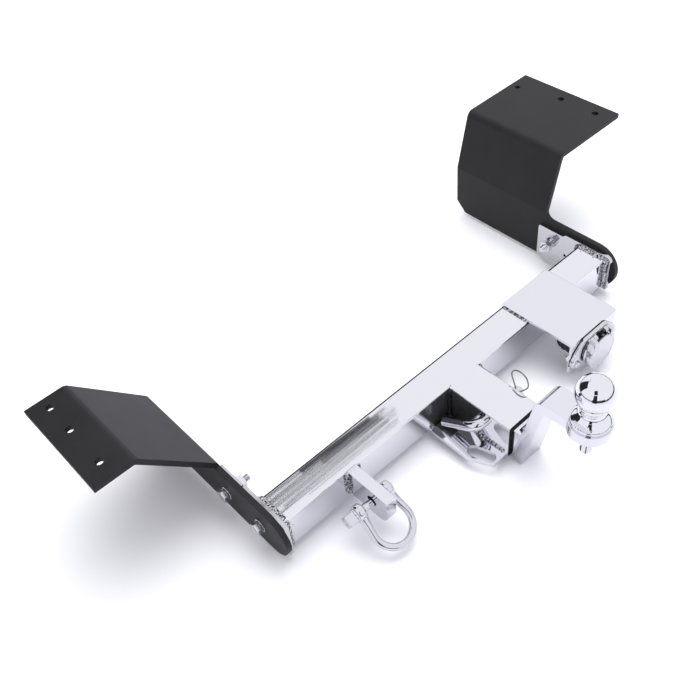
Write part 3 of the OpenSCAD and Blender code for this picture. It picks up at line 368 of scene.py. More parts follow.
def skin(bm, rings, start_cap=True, end_cap=True):
    """Joins rings of points with faces, and closes both ends with caps."""
    rows = [[bm.verts.new(Vector(point) * MM) for point in ring] for ring in rings]
    for near, far in zip(rows, rows[1:]):
        for k in range(len(near)):
            m = (k + 1) % len(near)
            bm.faces.new((near[k], near[m], far[m], far[k]))
    if start_cap:
        bm.faces.new(rows[0][::-1])
    if end_cap:
        bm.faces.new(rows[-1])


def across(axis):
    """Two directions square to an axis: sideways, and upward where the axis is level."""
    up = Z if abs(axis.z) < 0.9 else Y
    side = up.cross(axis).normalized()
    return side, axis.cross(side)


def turned(centre, axis, profile, sides=48):
    """Rings round an axis from (height, radius) pairs; either may be a function of the angle."""
    side, up = across(axis)
    angles = [math.tau * k / sides for k in range(sides)]
    return [[centre + axis * (height(a) if callable(height) else height)
             + (side * math.cos(a) + up * math.sin(a)) * (radius(a) if callable(radius) else radius)
             for a in angles] for height, radius in profile]


def swept(path, radius, sides=16, side=Z):
    """Round rings along a path, whose radius may be a function of the way along."""
    rings = []
    last = len(path) - 1
    for i, place in enumerate(path):
        ahead = (path[min(i + 1, last)] - path[max(i - 1, 0)]).normalized()
        side = (side - ahead * side.dot(ahead)).normalized()
        other = ahead.cross(side)
        r = radius(i / last) if callable(radius) else radius
        rings.append([place + (side * math.cos(a) + other * math.sin(a)) * r
                      for a in (math.tau * k / sides for k in range(sides))])
    return rings


def piece(name, material, body, replaced, bm, sharp=32):
    """Makes an object of a mesh; it rides on a body and stands for the CAD nodes that it replaces."""
    bmesh.ops.remove_doubles(bm, verts=bm.verts, dist=1e-7)
    bmesh.ops.recalc_face_normals(bm, faces=bm.faces)
    mesh = bpy.data.meshes.new(name)
    bm.to_mesh(mesh)
    bm.free()
    for face in mesh.polygons:
        face.use_smooth = True
    mesh.set_sharp_from_angle(angle=math.radians(sharp))
    mesh.materials.append(material)
    made = bpy.data.objects.new(name, mesh)
    bpy.context.scene.collection.objects.link(made)
    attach(made, body)
    if replaced:
        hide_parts(*replaced)


# Weld beads

RIPPLE_MM = 2.7
STEPS_IN_RIPPLE = 5
BEAD_SIDES = 9


def weld_bead(bm, start, end, out_a, out_b, width_a, width_b, seed):
    """A fillet of overlapping ripples in the corner between two faces."""
    start, end = Vector(start), Vector(end)
    length = (end - start).length
    along = (end - start) / length
    count = max(8, round(length / RIPPLE_MM * STEPS_IN_RIPPLE))
    chance = random.Random(seed)
    swells = [chance.uniform(-0.07, 0.03) for _ in range(int(length / RIPPLE_MM) + 4)]
    rings = []
    for i in range(count + 1):
        s = length * i / count
        taper = min(1.0, 0.45 + min(s, length - s) / 3)
        ring = [start + along * s]
        for j in range(BEAD_SIDES + 1):
            turn = math.pi / 2 * j / BEAD_SIDES
            phase = s / RIPPLE_MM - 0.5 * math.sin(2 * turn) + 1
            ripple = (phase % 1) ** 1.6
            size = taper * (0.84 + 0.14 * ripple + swells[int(phase)] * math.sin(2 * turn))
            ring.append(start + along * s + out_a * (width_a * math.cos(turn) * size)
                        + out_b * (width_b * math.sin(turn) * size))
        rings.append(ring)
    skin(bm, rings)


def spatter(bm, places, seed):
    """Small round drops of weld metal thrown out beside a bead."""
    chance = random.Random(seed)
    for place, out in places:
        r = chance.uniform(0.5, 0.9)
        drop = [(-0.2, r), (0.35 * r, 0.92 * r), (0.75 * r, 0.6 * r), (0.9 * r, 0.15 * r)]
        skin(bm, turned(place, out, drop, 8))


END_BEAD_MM = 8
BEAD_MM = 6
CHAIN_BEAD_MM = 3.5
MOUNT_BEAD_MM = 7
TUBE_CORNER_MM = 4
# Beads run on this far over the tube's rounded corners
OVER_CORNER_MM = 2
UP_CORNER_MM = 3


def end_welds():
    """Where the cross tube meets its end plates: above, in front and behind."""
    a, b = low("cross_tube"), high("cross_tube")
    step = high("left_end_plate").z - b.z
    half_y, half_z = b.y - TUBE_CORNER_MM + OVER_CORNER_MM, b.z - TUBE_CORNER_MM
    bm = bmesh.new()
    for x, out, seed in ((a.x, X, 1), (b.x, -X, 2)):
        weld_bead(bm, (x, -half_y, b.z), (x, half_y, b.z), out, Z, END_BEAD_MM, step, seed)
        for y, facing, later in ((a.y, -Y, 2), (b.y, Y, 4)):
            weld_bead(bm, (x, y, -half_z), (x, y, half_z + UP_CORNER_MM), out, facing, END_BEAD_MM, BEAD_MM,
                      seed + later)
        drops = (((x, -9, b.z), 10, Z), ((x, 14, b.z), 11, Z), ((x, a.y, 12), 12, -Y))
        spatter(bm, [(Vector(foot) + out * away, facing) for foot, away, facing in drops], seed)
    piece("end_weld_ripples", WELD, "frame", ["end_weld_beads"], bm, 60)


def receiver_welds():
    """Upright beads beside the receiver, and the beads along the chain plate's two seams."""
    tube, plate = low("cross_tube"), low("chain_plate")
    side = high("receiver_tube").x
    half_z = high("receiver_tube").z - TUBE_CORNER_MM
    seat = high("chain_plate").z
    bm = bmesh.new()
    for start, end, out_a, out_b, width, seed in (
            ((side, tube.y, -half_z), (side, tube.y, half_z), X, -Y, BEAD_MM, 11),
            ((-side, tube.y, seat), (-side, tube.y, half_z), -X, -Y, BEAD_MM, 12),
            ((-side, tube.y - BEAD_MM, seat), (-side, plate.y + 4, seat), -X, Z, CHAIN_BEAD_MM, 13),
            ((-side - BEAD_MM, tube.y, seat), (plate.x + 2, tube.y, seat), -Y, Z, CHAIN_BEAD_MM, 14)):
        weld_bead(bm, start, end, out_a, out_b, width, width, seed)
    piece("receiver_weld_ripples", WELD, "frame", ["receiver_weld_beads"], bm, 60)


def fitting_welds():
    """Beads beside the tow tab and along both edges of the socket's bracket."""
    front, tube = low("cross_tube").y, high("cross_tube")
    tab_low, tab_high = low("tow_tab"), high("tow_tab")
    sheet_low, sheet_high = low("socket_bracket"), high("socket_bracket")
    lift = sheet_high.z - tube.z - 1
    bm = bmesh.new()
    for x, out, seed in ((tab_low.x, -X, 21), (tab_high.x, X, 22)):
        weld_bead(bm, (x, front, tab_low.z + 2), (x, front, tab_high.z - 2), out, -Y, BEAD_MM, BEAD_MM, seed)
    for x, out, seed in ((sheet_low.x, -X, 23), (sheet_high.x, X, 24)):
        weld_bead(bm, (x, front + TUBE_CORNER_MM, tube.z), (x, tube.y - TUBE_CORNER_MM, tube.z), out, Z,
                  0.5 * BEAD_MM, lift, seed)
    piece("fitting_weld_ripples", WELD, "frame", ["fitting_weld_beads"], bm, 60)


RISE_LEAN = math.radians(101)


def mount_weld():
    """The bead in the corner between the shank's top and the leaning rise."""
    a, b = low("mount_weld_bead"), high("mount_weld_bead")
    corner_y = b.y - MOUNT_BEAD_MM
    up_rise = Vector((0, math.cos(RISE_LEAN), math.sin(RISE_LEAN)))
    bm = bmesh.new()
    weld_bead(bm, (a.x, corner_y, a.z), (b.x, corner_y, a.z), Y, up_rise, MOUNT_BEAD_MM, MOUNT_BEAD_MM, 31)
    piece("mount_weld_ripples", WELD, "frame", ["mount_weld_bead"], bm, 60)


SEAM_LIP_MM = 0.03


def receiver_seam():
    """The butt weld over the receiver, ground flush with both tubes and plated over."""
    half = high("receiver_tube").x - TUBE_CORNER_MM
    front, top = low("cross_tube").y, high("cross_tube").z
    lip, crown = top + SEAM_LIP_MM, top + 2 * SEAM_LIP_MM
    outline = ((front - 3, top - 1), (front - 3, lip), (front - 1, crown), (front + 2, crown),
               (front + 5.5, lip), (front + 5.5, top - 1), (front + 1, top - 2.5))
    bm = bmesh.new()
    skin(bm, [[(x, y, z) for y, z in outline] for x in (-half, half)])
    piece("receiver_seam_fill", SEAM, "frame", [], bm)


# Fasteners

def hexagon(flats, turn=0.0):
    """The radius of a hexagon at an angle."""
    sixth = math.pi / 3
    return lambda a: flats / 2 / math.cos((a + turn + sixth / 2) % sixth - sixth / 2)


CHAMFER_SLOPE = 0.577
FACE_SHARE = 0.475


def hex_head(bm, foot, axis, flats, height):
    """A bolt's head: washer face below, corners chamfered and the top slightly dished."""
    edge = hexagon(flats)
    inner = FACE_SHARE * flats
    skin(bm, turned(foot, axis, [
        (0, 0.3), (0, inner), (0.35, inner), (0.4, edge),
        (lambda a: height - (edge(a) - inner) * CHAMFER_SLOPE, edge), (height, inner),
        (height, 0.38 * flats), (height - 0.4, 0.33 * flats), (height - 0.4, 0.3)], 72))


def hex_nut(bm, foot, axis, flats, height, bore, turn=0.0):
    """A nut with both faces chamfered and a countersunk bore."""
    edge = hexagon(flats, turn)
    inner = FACE_SHARE * flats
    rings = turned(foot, axis, [
        (0.7, bore), (0, bore + 0.8), (0, inner), (lambda a: (edge(a) - inner) * CHAMFER_SLOPE, edge),
        (lambda a: height - (edge(a) - inner) * CHAMFER_SLOPE, edge), (height, inner), (height, bore + 0.8),
        (height - 0.7, bore), (0.7, bore)], 72)
    skin(bm, rings, start_cap=False, end_cap=False)


def threaded_end(bm, foot, axis, length, radius, pitch):
    """A screw thread that ends in a chamfer; foot is its root and the end lies length along the axis."""
    depth = 0.6 * pitch
    steps = round(length / pitch * 6)

    def crest(height):
        chamfer = max(0.0, height - (length - depth - 0.4))
        return lambda a: radius - max(chamfer, depth * abs(2 * ((height / pitch - a / math.tau) % 1) - 1))
    heights = [length * i / steps for i in range(steps + 1)]
    skin(bm, turned(foot, axis, [(height, crest(height)) for height in heights], 32))


def flat_washer(bm, foot, axis, outer, bore, thick):
    edge = 0.25
    rings = turned(foot, axis, [
        (0, bore), (0, outer - edge), (edge, outer), (thick - edge, outer), (thick, outer - edge),
        (thick, bore + edge), (thick - edge, bore), (0, bore)])
    skin(bm, rings, start_cap=False, end_cap=False)


SPLIT_START, SPLIT_SWEEP = 96, 348
SPLIT_STEPS = 60


def split_washer(bm, foot, axis, outer, bore, thick):
    """A spring washer: a helical ring whose two ends stand a little apart."""
    side, up = across(axis)
    body = 0.8 * thick
    edge = 0.2
    rings = []
    for i in range(SPLIT_STEPS + 1):
        share = i / SPLIT_STEPS
        a = math.radians(SPLIT_START + SPLIT_SWEEP * share)
        out = side * math.cos(a) + up * math.sin(a)
        lift = (thick - body) * share
        rings.append([foot + out * r + axis * (lift + h) for r, h in (
            (bore, edge), (bore + edge, 0), (outer - edge, 0), (outer, edge),
            (outer, body - edge), (outer - edge, body), (bore + edge, body), (bore, body - edge))])
    skin(bm, rings)


BOLT_R = 5
BOLT_FLATS = 17
BOLT_HEAD = 6.4
BOLT_BELOW_HEAD = 40
BOLT_THREAD = 26
BOLT_PITCH = 1.5
NUT_H = 8.4
WASHER_R, WASHER_BORE, WASHER_T = 10, 5.5, 2
SPRING_R, SPRING_BORE, SPRING_T = 8.5, 5.4, 2.5


def bracket_fasteners():
    """Two bolts on each side: the front nut is captive in the tube, the rear stack is open."""
    heads, nuts, washers, springs = (bmesh.new() for _ in range(4))
    bolts_low, bolts_high = low("bracket_bolts"), high("bracket_bolts")
    front_y, rear_y = bolts_low.y + BOLT_FLATS / 2, bolts_high.y - BOLT_FLATS / 2
    z = middle("bracket_bolts").z
    plain = BOLT_BELOW_HEAD - BOLT_THREAD
    for end, inner, axis in ((bolts_low.x + BOLT_HEAD, high("left_end_plate").x, -X),
                             (bolts_high.x - BOLT_HEAD, low("right_end_plate").x, X)):
        for y in (front_y, rear_y):
            seat = Vector((end, y, z))
            hex_head(heads, seat, axis, BOLT_FLATS, BOLT_HEAD)
            skin(heads, turned(seat, axis, [(0, BOLT_R), (-plain, BOLT_R)], 32))
            threaded_end(heads, seat - axis * plain, -axis, BOLT_THREAD, BOLT_R, BOLT_PITCH)
            split_washer(springs, seat - axis * SPRING_T, axis, SPRING_R, SPRING_BORE, SPRING_T)
            flat_washer(washers, seat - axis * (SPRING_T + WASHER_T), axis, WASHER_R, WASHER_BORE, WASHER_T)
        hex_nut(nuts, Vector((inner, front_y, z)), -axis, BOLT_FLATS, NUT_H, BOLT_R)
        rear = Vector((inner, rear_y, z))
        flat_washer(washers, rear, -axis, WASHER_R, WASHER_BORE, WASHER_T)
        split_washer(springs, rear - axis * WASHER_T, -axis, SPRING_R, SPRING_BORE, SPRING_T)
        hex_nut(nuts, rear - axis * (WASHER_T + SPRING_T), -axis, BOLT_FLATS, NUT_H, BOLT_R)
    for name, node, bm in (("hex_bolts", "bracket_bolts", heads), ("hex_nuts", "bracket_nuts", nuts),
                           ("plain_washers", "bracket_washers", washers),
                           ("split_washers", "bracket_spring_washers", springs)):
        piece(name, ZINC, "frame", [node], bm)


# Ball and its nut

STUD_R = 8
STUD_THREAD = 34
STUD_PITCH = 2
BALL_FLAT = 20
BASE_R = 26
NECK_R = 14
GROOVE_HEIGHTS = (20, 24)


def ball_on_stud():
    """Turned ball, grooved neck, round base with two spanner flats milled halfway down, threaded stud."""
    bottom, top = low("hitch_ball"), high("hitch_ball")
    ball_r = (top.x - bottom.x) / 2
    shelf = high("ball_mount").z
    foot = Vector(((bottom.x + top.x) / 2, (bottom.y + top.y) / 2, shelf))
    rise = top.z - ball_r - shelf

    def milled(radius):
        return lambda a: min(radius, BALL_FLAT / max(abs(math.cos(a)), 1e-6))
    # Base from the shelf up, then the milled slope, and the cove that runs into the neck
    profile = [(0, 20), (0, BASE_R - 0.8), (0.8, BASE_R), (4.4, BASE_R), (5, BASE_R - 0.5),
               (5.02, milled(BASE_R - 0.6)), (5.6, milled(BASE_R - 0.9)), (6.6, milled(24.3)),
               (8, milled(22.9)), (9.6, milled(21)), (11.2, 18.8), (12.8, 16.8), (14.6, 15.3),
               (16.4, NECK_R + 0.4), (18, NECK_R)]
    for z in GROOVE_HEIGHTS:
        profile += [(z - 0.9, NECK_R), (z - 0.5, NECK_R - 0.9), (z + 0.5, NECK_R - 0.9), (z + 0.9, NECK_R)]
    start, end = math.asin((NECK_R - 0.3) / ball_r), math.radians(14)
    for i in range(33):
        a = math.pi - start - (math.pi - start - end) * i / 32
        profile.append((rise + ball_r * math.cos(a), ball_r * math.sin(a)))
    # The flat on top, with a centre mark
    mark = ((0.9745, 5.2), (0.976, 1.4), (0.97, 0.7), (0.965, 0.1))
    profile += [(rise + ball_r * share, r) for share, r in mark]
    bm = bmesh.new()
    skin(bm, turned(foot, Z, profile, 96))
    plain = shelf - bottom.z - STUD_THREAD
    skin(bm, turned(foot, -Z, [(0, STUD_R), (plain, STUD_R)], 32))
    threaded_end(bm, foot - Z * plain, -Z, STUD_THREAD, STUD_R, STUD_PITCH)
    piece("turned_hitch_ball", TURNED, "frame", ["hitch_ball"], bm, 24)


def ball_fastening():
    """The nut and the split lock washer under the shelf."""
    a, b, centre = low("ball_nut"), high("ball_nut"), middle("ball_nut")
    bm = bmesh.new()
    hex_nut(bm, Vector((centre.x, centre.y, a.z)), Z, b.y - a.y, b.z - a.z, STUD_R, math.pi / 6)
    piece("ball_hex_nut", ZINC, "frame", ["ball_nut"], bm)
    a, b = low("ball_lock_washer"), high("ball_lock_washer")
    bm = bmesh.new()
    split_washer(bm, Vector((centre.x, centre.y, a.z)), Z, (b.y - a.y) / 2, STUD_R + 0.4, b.z - a.z)
    piece("ball_split_washer", SPRING, "frame", ["ball_lock_washer"], bm)


# Hitch pin and its clip

PIN_R = 8
PIN_BEND_R = 14
PIN_BEND = math.radians(83)
HANDLE_MM = 47
PIN_CHAMFER = 1.4


def bent_pin():
    """A round bar, bent once into its handle, with both ends chamfered."""
    axis = pivot("hitch_pin_turn")
    end_x = high("hitch_pin").x
    bend_x = low("receiver_tube").x - 2
    reach = PIN_BEND_R * (1 - math.cos(PIN_BEND)) + HANDLE_MM * math.sin(PIN_BEND)
    drop = axis.z - high("chain_plate").z - 0.3
    droop = math.asin(drop / math.hypot(reach, PIN_R)) - math.atan2(PIN_R, reach)
    start_x = end_x - PIN_CHAMFER
    flat = [(end_x, 0)] + [(start_x - (start_x - bend_x) * i / 8, 0) for i in range(9)]
    flat += [(bend_x - PIN_BEND_R * math.sin(a), PIN_BEND_R * (1 - math.cos(a)))
             for a in (PIN_BEND * i / 16 for i in range(1, 17))]
    tip = Vector(flat[-1])
    ahead = Vector((-math.cos(PIN_BEND), math.sin(PIN_BEND)))
    flat += [tuple(tip + ahead * s) for s in (12, 26, 40, HANDLE_MM - PIN_CHAMFER, HANDLE_MM)]
    path = [Vector((x, axis.y + y * math.cos(droop), axis.z - y * math.sin(droop))) for x, y in flat]
    last = len(path) - 1

    def bar(share):
        i = round(share * last)
        return PIN_R - PIN_CHAMFER if i in (0, last) else PIN_R
    bm = bmesh.new()
    skin(bm, swept(path, bar, 40))
    piece("bent_hitch_pin", FORGING, "pin", ["hitch_pin"], bm)


CLIP_R = 1
CLIP_LOOP_R = 14
CLIP_LEG = 27
CLIP_LEAN = math.radians(22)
CLIP_TIP = math.radians(65)


def curve_points(a, b, c, d, count):
    """Points on a smooth curve from a to d, without a itself."""
    return [a * (1 - t) ** 3 + b * 3 * t * (1 - t) ** 2 + c * 3 * t * t * (1 - t) + d * t ** 3
            for t in (i / count for i in range(1, count + 1))]


def spring_clip():
    """Round spring wire: one leg through the pin, a round loop, and an arm that grips the pin."""
    axis = pivot("hitch_pin_turn")
    x = middle("hitch_pin_clip").x
    grip = PIN_R + CLIP_R + 0.2
    flat = [Vector((0, -PIN_R - 5)), Vector((0, 0)), Vector((0, CLIP_LEG - 6)), Vector((0, CLIP_LEG))]
    flat += [Vector((-CLIP_LOOP_R + CLIP_LOOP_R * math.cos(a), CLIP_LEG + CLIP_LOOP_R * math.sin(a)))
             for a in (math.pi * i / 24 for i in range(1, 25))]
    tip = grip * Vector((-math.sin(CLIP_TIP), math.cos(CLIP_TIP)))
    wide = Vector((-2 * CLIP_LOOP_R, CLIP_LEG))
    flat += curve_points(wide, wide - Vector((0, 13)), tip + Vector((-12, 7.4)), tip, 14)
    path = [Vector((x, axis.y + p.x * math.cos(CLIP_LEAN) + p.y * math.sin(CLIP_LEAN),
                    axis.z - p.x * math.sin(CLIP_LEAN) + p.y * math.cos(CLIP_LEAN))) for p in flat]
    bm = bmesh.new()
    skin(bm, swept(path, CLIP_R, 14, X))
    piece("wire_pin_clip", SPRING, "pin", ["hitch_pin_clip"], bm)


# Tow shackle

BOW_R = 28.5
BOW_WIRE_R = 5.25
BOW_REACH = 38
LEG_OFFSET = 23.5
EYE_OUT = 30.25
EYE_W = 12
EYE_R = 12
SHACKLE_DROOP = math.radians(30)
HEAD_W = 16
HEAD_H = 14
COLLAR_R = 10
COLLAR_T = 3
SHACKLE_PIN_R = 5.5
SHACKLE_THREAD = 14
SHACKLE_PITCH = 1.75


def on_shackle(x, y, z=0.0):
    """A point of the shackle, drawn level with its bow towards -Y, where the shackle hangs."""
    axis = pivot("shackle_swing")
    return axis + Vector((x, y * math.cos(SHACKLE_DROOP) - z * math.sin(SHACKLE_DROOP),
                          y * math.sin(SHACKLE_DROOP) + z * math.cos(SHACKLE_DROOP)))


def forged_bow():
    """A bow forged in one with its two eyes; the legs swell where they run into them."""
    span = math.hypot(LEG_OFFSET, BOW_REACH)
    lean = math.asin(BOW_R / span) - math.atan2(LEG_OFFSET, BOW_REACH)
    leg = math.sqrt(span * span - BOW_R * BOW_R)

    def down_leg(side, s):
        return (side * (LEG_OFFSET + s * math.sin(lean)), -s * math.cos(lean))
    stations = [7.5, 9, 11, 14, 18, 23, 29, leg]
    flat = [down_leg(-1, s) for s in stations]
    sweep_angle = math.pi + 2 * lean
    for i in range(1, 40):
        a = math.pi - lean + sweep_angle * i / 40
        flat.append((BOW_R * math.cos(a), -BOW_REACH + BOW_R * math.sin(a)))
    flat += [down_leg(1, s) for s in reversed(stations)]
    path = [on_shackle(x, y) for x, y in flat]
    last = len(path) - 1
    swell = (7.2, 7, 6.6, 6.1, 5.7, 5.4)

    def thickness(share):
        i = round(share * last)
        from_end = min(i, last - i)
        return swell[from_end] if from_end < len(swell) else BOW_WIRE_R
    bm = bmesh.new()
    skin(bm, swept(path, thickness, 28, on_shackle(0, 0, 1) - on_shackle(0, 0)))
    bore = SHACKLE_PIN_R + 0.1
    for side in (-1, 1):
        inner = side * (EYE_OUT - EYE_W)
        rings = turned(on_shackle(inner, 0), X * side, [
            (0.5, bore), (0, bore + 0.5), (0, 9.2), (0.7, 10.7), (2, 11.6), (3.6, EYE_R), (8.4, EYE_R),
            (10, 11.6), (11.3, 10.7), (EYE_W, 9.2), (EYE_W, bore + 0.5), (EYE_W - 0.5, bore),
            (0.5, bore)], 48)
        skin(bm, rings, start_cap=False, end_cap=False)
    piece("forged_shackle_bow", FORGING, "shackle", ["shackle_bow"], bm, 40)


def rounded_square(half, power=9):
    """The radius of a square with rounded corners at an angle, level where the shackle droops."""
    def radius(a):
        c, s = abs(math.cos(a + SHACKLE_DROOP)), abs(math.sin(a + SHACKLE_DROOP))
        return half / (c ** power + s ** power) ** (1 / power)
    return radius


def screw_pin():
    """The shackle's pin: square head, round collar, smooth shank and threaded end."""
    root, far = EYE_OUT + 1, EYE_OUT + 1.5 - SHACKLE_THREAD
    half = HEAD_W / 2
    bm = bmesh.new()
    skin(bm, turned(on_shackle(-root, 0), X, [(0, SHACKLE_PIN_R), (root + far, SHACKLE_PIN_R)], 40))
    threaded_end(bm, on_shackle(far, 0), X, SHACKLE_THREAD, SHACKLE_PIN_R, SHACKLE_PITCH)
    skin(bm, turned(on_shackle(-EYE_OUT, 0), -X, [
        (0, 5), (0, COLLAR_R - 0.5), (0.5, COLLAR_R), (COLLAR_T - 0.9, COLLAR_R), (COLLAR_T, COLLAR_R - 1.2),
        (COLLAR_T, 5)], 56))
    skin(bm, turned(on_shackle(-EYE_OUT - COLLAR_T + 0.2, 0), -X, [
        (0, rounded_square(half - 0.3)), (0.8, rounded_square(half)), (HEAD_H - 1.6, rounded_square(half)),
        (HEAD_H - 0.6, rounded_square(half - 0.7)), (HEAD_H - 0.2, rounded_square(half - 1.7, 6)),
        (HEAD_H - 0.2, 3.6), (HEAD_H - 0.9, 2.6), (HEAD_H - 1.1, 0.4)], 96))
    piece("square_head_screw_pin", FORGING, "shackle_screw", ["shackle_pin"], bm, 30)


# Trailer socket

SOCKET = middle("socket_gasket")
SOCKET_BACK = low("socket_gasket").y
SOCKET_FRONT = low("socket_housing").y
HINGE = pivot("lid_open")
LID_FACE = low("socket_lid").y
FLANGE_CUT = 26
FLANGE_T = 6
BARREL_R = 25
CAVITY_R = 20.5
FLOOR_T = 2
KNUCKLE_R = 4.5
HINGE_PIN_R = 1.5
LUG_IN, LUG_OUT = 9, 15
ARM_IN, ARM_OUT = 15.3, 21.3
RIM_R = 27
SPRING_WIRE_R = 0.6
SPRING_TURNS = 7
SPRING_STEPS = 16
SCREW_OUT = 41
SCREW_R = 2.5
SCREW_FLATS = 8
SCREW_PITCH = 0.8


def bevelled_slab(bm, outline, x0, x1, edge=0.5):
    """A flat shape in Y and Z, given by its outline, with small bevels at both ends along X."""
    centre = sum((Vector(p) for p in outline), Vector((0, 0))) / len(outline)

    def ring(x, inset):
        placed = []
        for p in outline:
            q = Vector(p)
            q -= (q - centre).normalized() * inset
            placed.append(Vector((x, q.x, q.y)))
        return placed
    skin(bm, [ring(x0, edge), ring(x0 + edge, 0), ring(x1 - edge, 0), ring(x1, edge)])


def both_sides(bm, outline, inner, outer):
    """The same slab on either side of the lid's hinge."""
    for side in (-1, 1):
        x0, x1 = sorted((HINGE.x + side * inner, HINGE.x + side * outer))
        bevelled_slab(bm, outline, x0, x1)


def knuckle(first, step, count):
    """Points round the hinge's axis in Y and Z, from a bearing in degrees by equal steps."""
    return [(HINGE.y + KNUCKLE_R * math.cos(a), HINGE.z + KNUCKLE_R * math.sin(a))
            for a in (math.radians(first + step * i) for i in range(count))]


def octagon(inset=0.0):
    """The radius of the flange's outline at an angle, its corners slightly rounded."""
    half_w, half_h = high("socket_gasket").x - SOCKET.x, high("socket_gasket").z - SOCKET.z
    slant = (half_w + half_h - FLANGE_CUT) / math.sqrt(2) - inset
    faces = [(0, half_w - inset), (math.pi / 2, half_h - inset), (math.pi / 4, slant), (-math.pi / 4, slant)]

    def radius(a):
        return sum((abs(math.cos(a - turn)) / far) ** 40 for turn, far in faces) ** (-1 / 40)
    return radius


def cast_housing():
    """An eight-sided flange with its barrel and the two lugs of the hinge, cast in one."""
    depth = SOCKET_BACK - SOCKET_FRONT
    bm = bmesh.new()
    rings = turned(Vector((SOCKET.x, SOCKET_BACK, SOCKET.z)), -Y, [
        (-2, 24), (0, 24), (0, octagon(0.3)), (0.6, octagon()), (FLANGE_T - 1.2, octagon()),
        (FLANGE_T - 0.3, octagon(0.5)), (FLANGE_T, octagon(1.4)), (FLANGE_T, BARREL_R + 3),
        (FLANGE_T + 0.5, BARREL_R + 1.3),
        (FLANGE_T + 1.8, BARREL_R + 0.3), (FLANGE_T + 3, BARREL_R), (depth - 0.8, BARREL_R),
        (depth, BARREL_R - 0.8), (depth, CAVITY_R + 0.8), (depth - 0.8, CAVITY_R), (FLOOR_T, CAVITY_R),
        (FLOOR_T, 17), (-2, 17), (-2, 24)], 144)
    skin(bm, rings, start_cap=False, end_cap=False)
    root = SOCKET.z + BARREL_R - 1.5
    back = SOCKET_BACK - 1
    lug = knuckle(200, -20, 11) + [(back, HINGE.z - 4), (back, root), (SOCKET_FRONT + 0.6, root)]
    both_sides(bm, lug, LUG_IN, LUG_OUT)
    piece("cast_socket_housing", ALLOY, "frame", ["socket_housing"], bm, 30)


def cast_lid():
    """A domed round lid with a rim, and two arms that curl round the hinge's pin."""
    lid_r = (high("socket_lid").x - low("socket_lid").x) / 2
    lid_back = SOCKET_FRONT - 2
    lid_t = lid_back - LID_FACE

    def rim_end(a):
        # The rim is cut away between the arms, where the housing's lugs stand
        x, z = lid_r * math.cos(a), lid_r * math.sin(a)
        return -lid_t - 4 if abs(x) > ARM_IN or z < 0 else -lid_t - 0.05
    bm = bmesh.new()
    skin(bm, turned(Vector((SOCKET.x, LID_FACE, SOCKET.z)), -Y, [
        (-lid_t, 0.5), (-lid_t, RIM_R), (rim_end, RIM_R), (rim_end, lid_r - 0.4),
        (lambda a: rim_end(a) + 0.4, lid_r), (-1.4, lid_r), (-0.5, lid_r - 0.4), (-0.1, lid_r - 1.4),
        (-0.1, lid_r - 3), (-0.6, lid_r - 3.6),
        (-0.5, 0.75 * lid_r), (-0.2, 0.5 * lid_r), (-0.05, 0.25 * lid_r), (0, 0.5)], 120))
    arm = knuckle(-60, 20, 10) + [
        (HINGE.y - 6.2, HINGE.z + 2.9), (LID_FACE + 0.8, HINGE.z + 1.4), (LID_FACE + 0.1, HINGE.z - 0.6),
        (LID_FACE + 0.1, HINGE.z - 10), (lid_back, HINGE.z - 10), (lid_back, HINGE.z - 4.4),
        (HINGE.y - 3.5, HINGE.z - 3.4)]
    both_sides(bm, arm, ARM_IN, ARM_OUT)
    piece("cast_socket_lid", ALLOY, "lid", ["socket_lid"], bm, 30)


def lid_pin_and_spring():
    """The pin through lugs and arms, and the coil between the lugs that closes the lid."""
    bm = bmesh.new()
    skin(bm, turned(HINGE - X * ARM_OUT, X, [
        (0, 0.9), (0.4, HINGE_PIN_R), (2 * ARM_OUT - 0.4, HINGE_PIN_R), (2 * ARM_OUT, 0.9)], 24))
    piece("riveted_hinge_pin", SPRING, "frame", ["lid_hinge_pin"], bm)

    coil = HINGE_PIN_R + SPRING_WIRE_R + 0.3
    width = LUG_IN - 1.5
    steps = SPRING_TURNS * SPRING_STEPS
    path = [HINGE + Vector((-width, -coil, -5))]
    for i in range(steps + 1):
        a = math.tau * i / SPRING_STEPS
        path.append(HINGE + Vector((2 * width * i / steps - width, -coil * math.cos(a), coil * math.sin(a))))
    path.append(HINGE + Vector((width, -coil, -5)))
    bm = bmesh.new()
    skin(bm, swept(path, SPRING_WIRE_R, 8, X))
    piece("lid_torsion_spring", BLACKENED, "frame", ["lid_spring"], bm, 60)


def ribbed_boot():
    """The rubber boot behind the socket: a lip, three ribs, and a cable neck that is left open."""
    a, b = low("socket_boot"), high("socket_boot")
    boot_r = (b.x - a.x) / 2
    length = b.y - a.y
    profile = [(0, boot_r - 5), (0, boot_r - 0.6), (0.6, boot_r), (3.5, boot_r), (4.3, boot_r - 0.9)]
    for at in (9, 17, 25):
        profile += [(at, boot_r - 0.9), (at + 1.2, boot_r - 0.1), (at + 3.4, boot_r - 0.1),
                    (at + 4.6, boot_r - 0.9)]
    profile += [(length - 5, boot_r - 1.6), (length - 2, boot_r - 3.4), (length - 0.5, boot_r - 5.6),
                (length, boot_r - 7.5), (length, 8), (length - 0.6, 6.6), (length - 2, 6), (length - 7, 6),
                (length - 7, 5)]
    bm = bmesh.new()
    skin(bm, turned(Vector((SOCKET.x, a.y, SOCKET.z)), Y, profile, 64), end_cap=False)
    piece("ribbed_rubber_boot", RUBBER, "frame", ["socket_boot"], bm, 40)


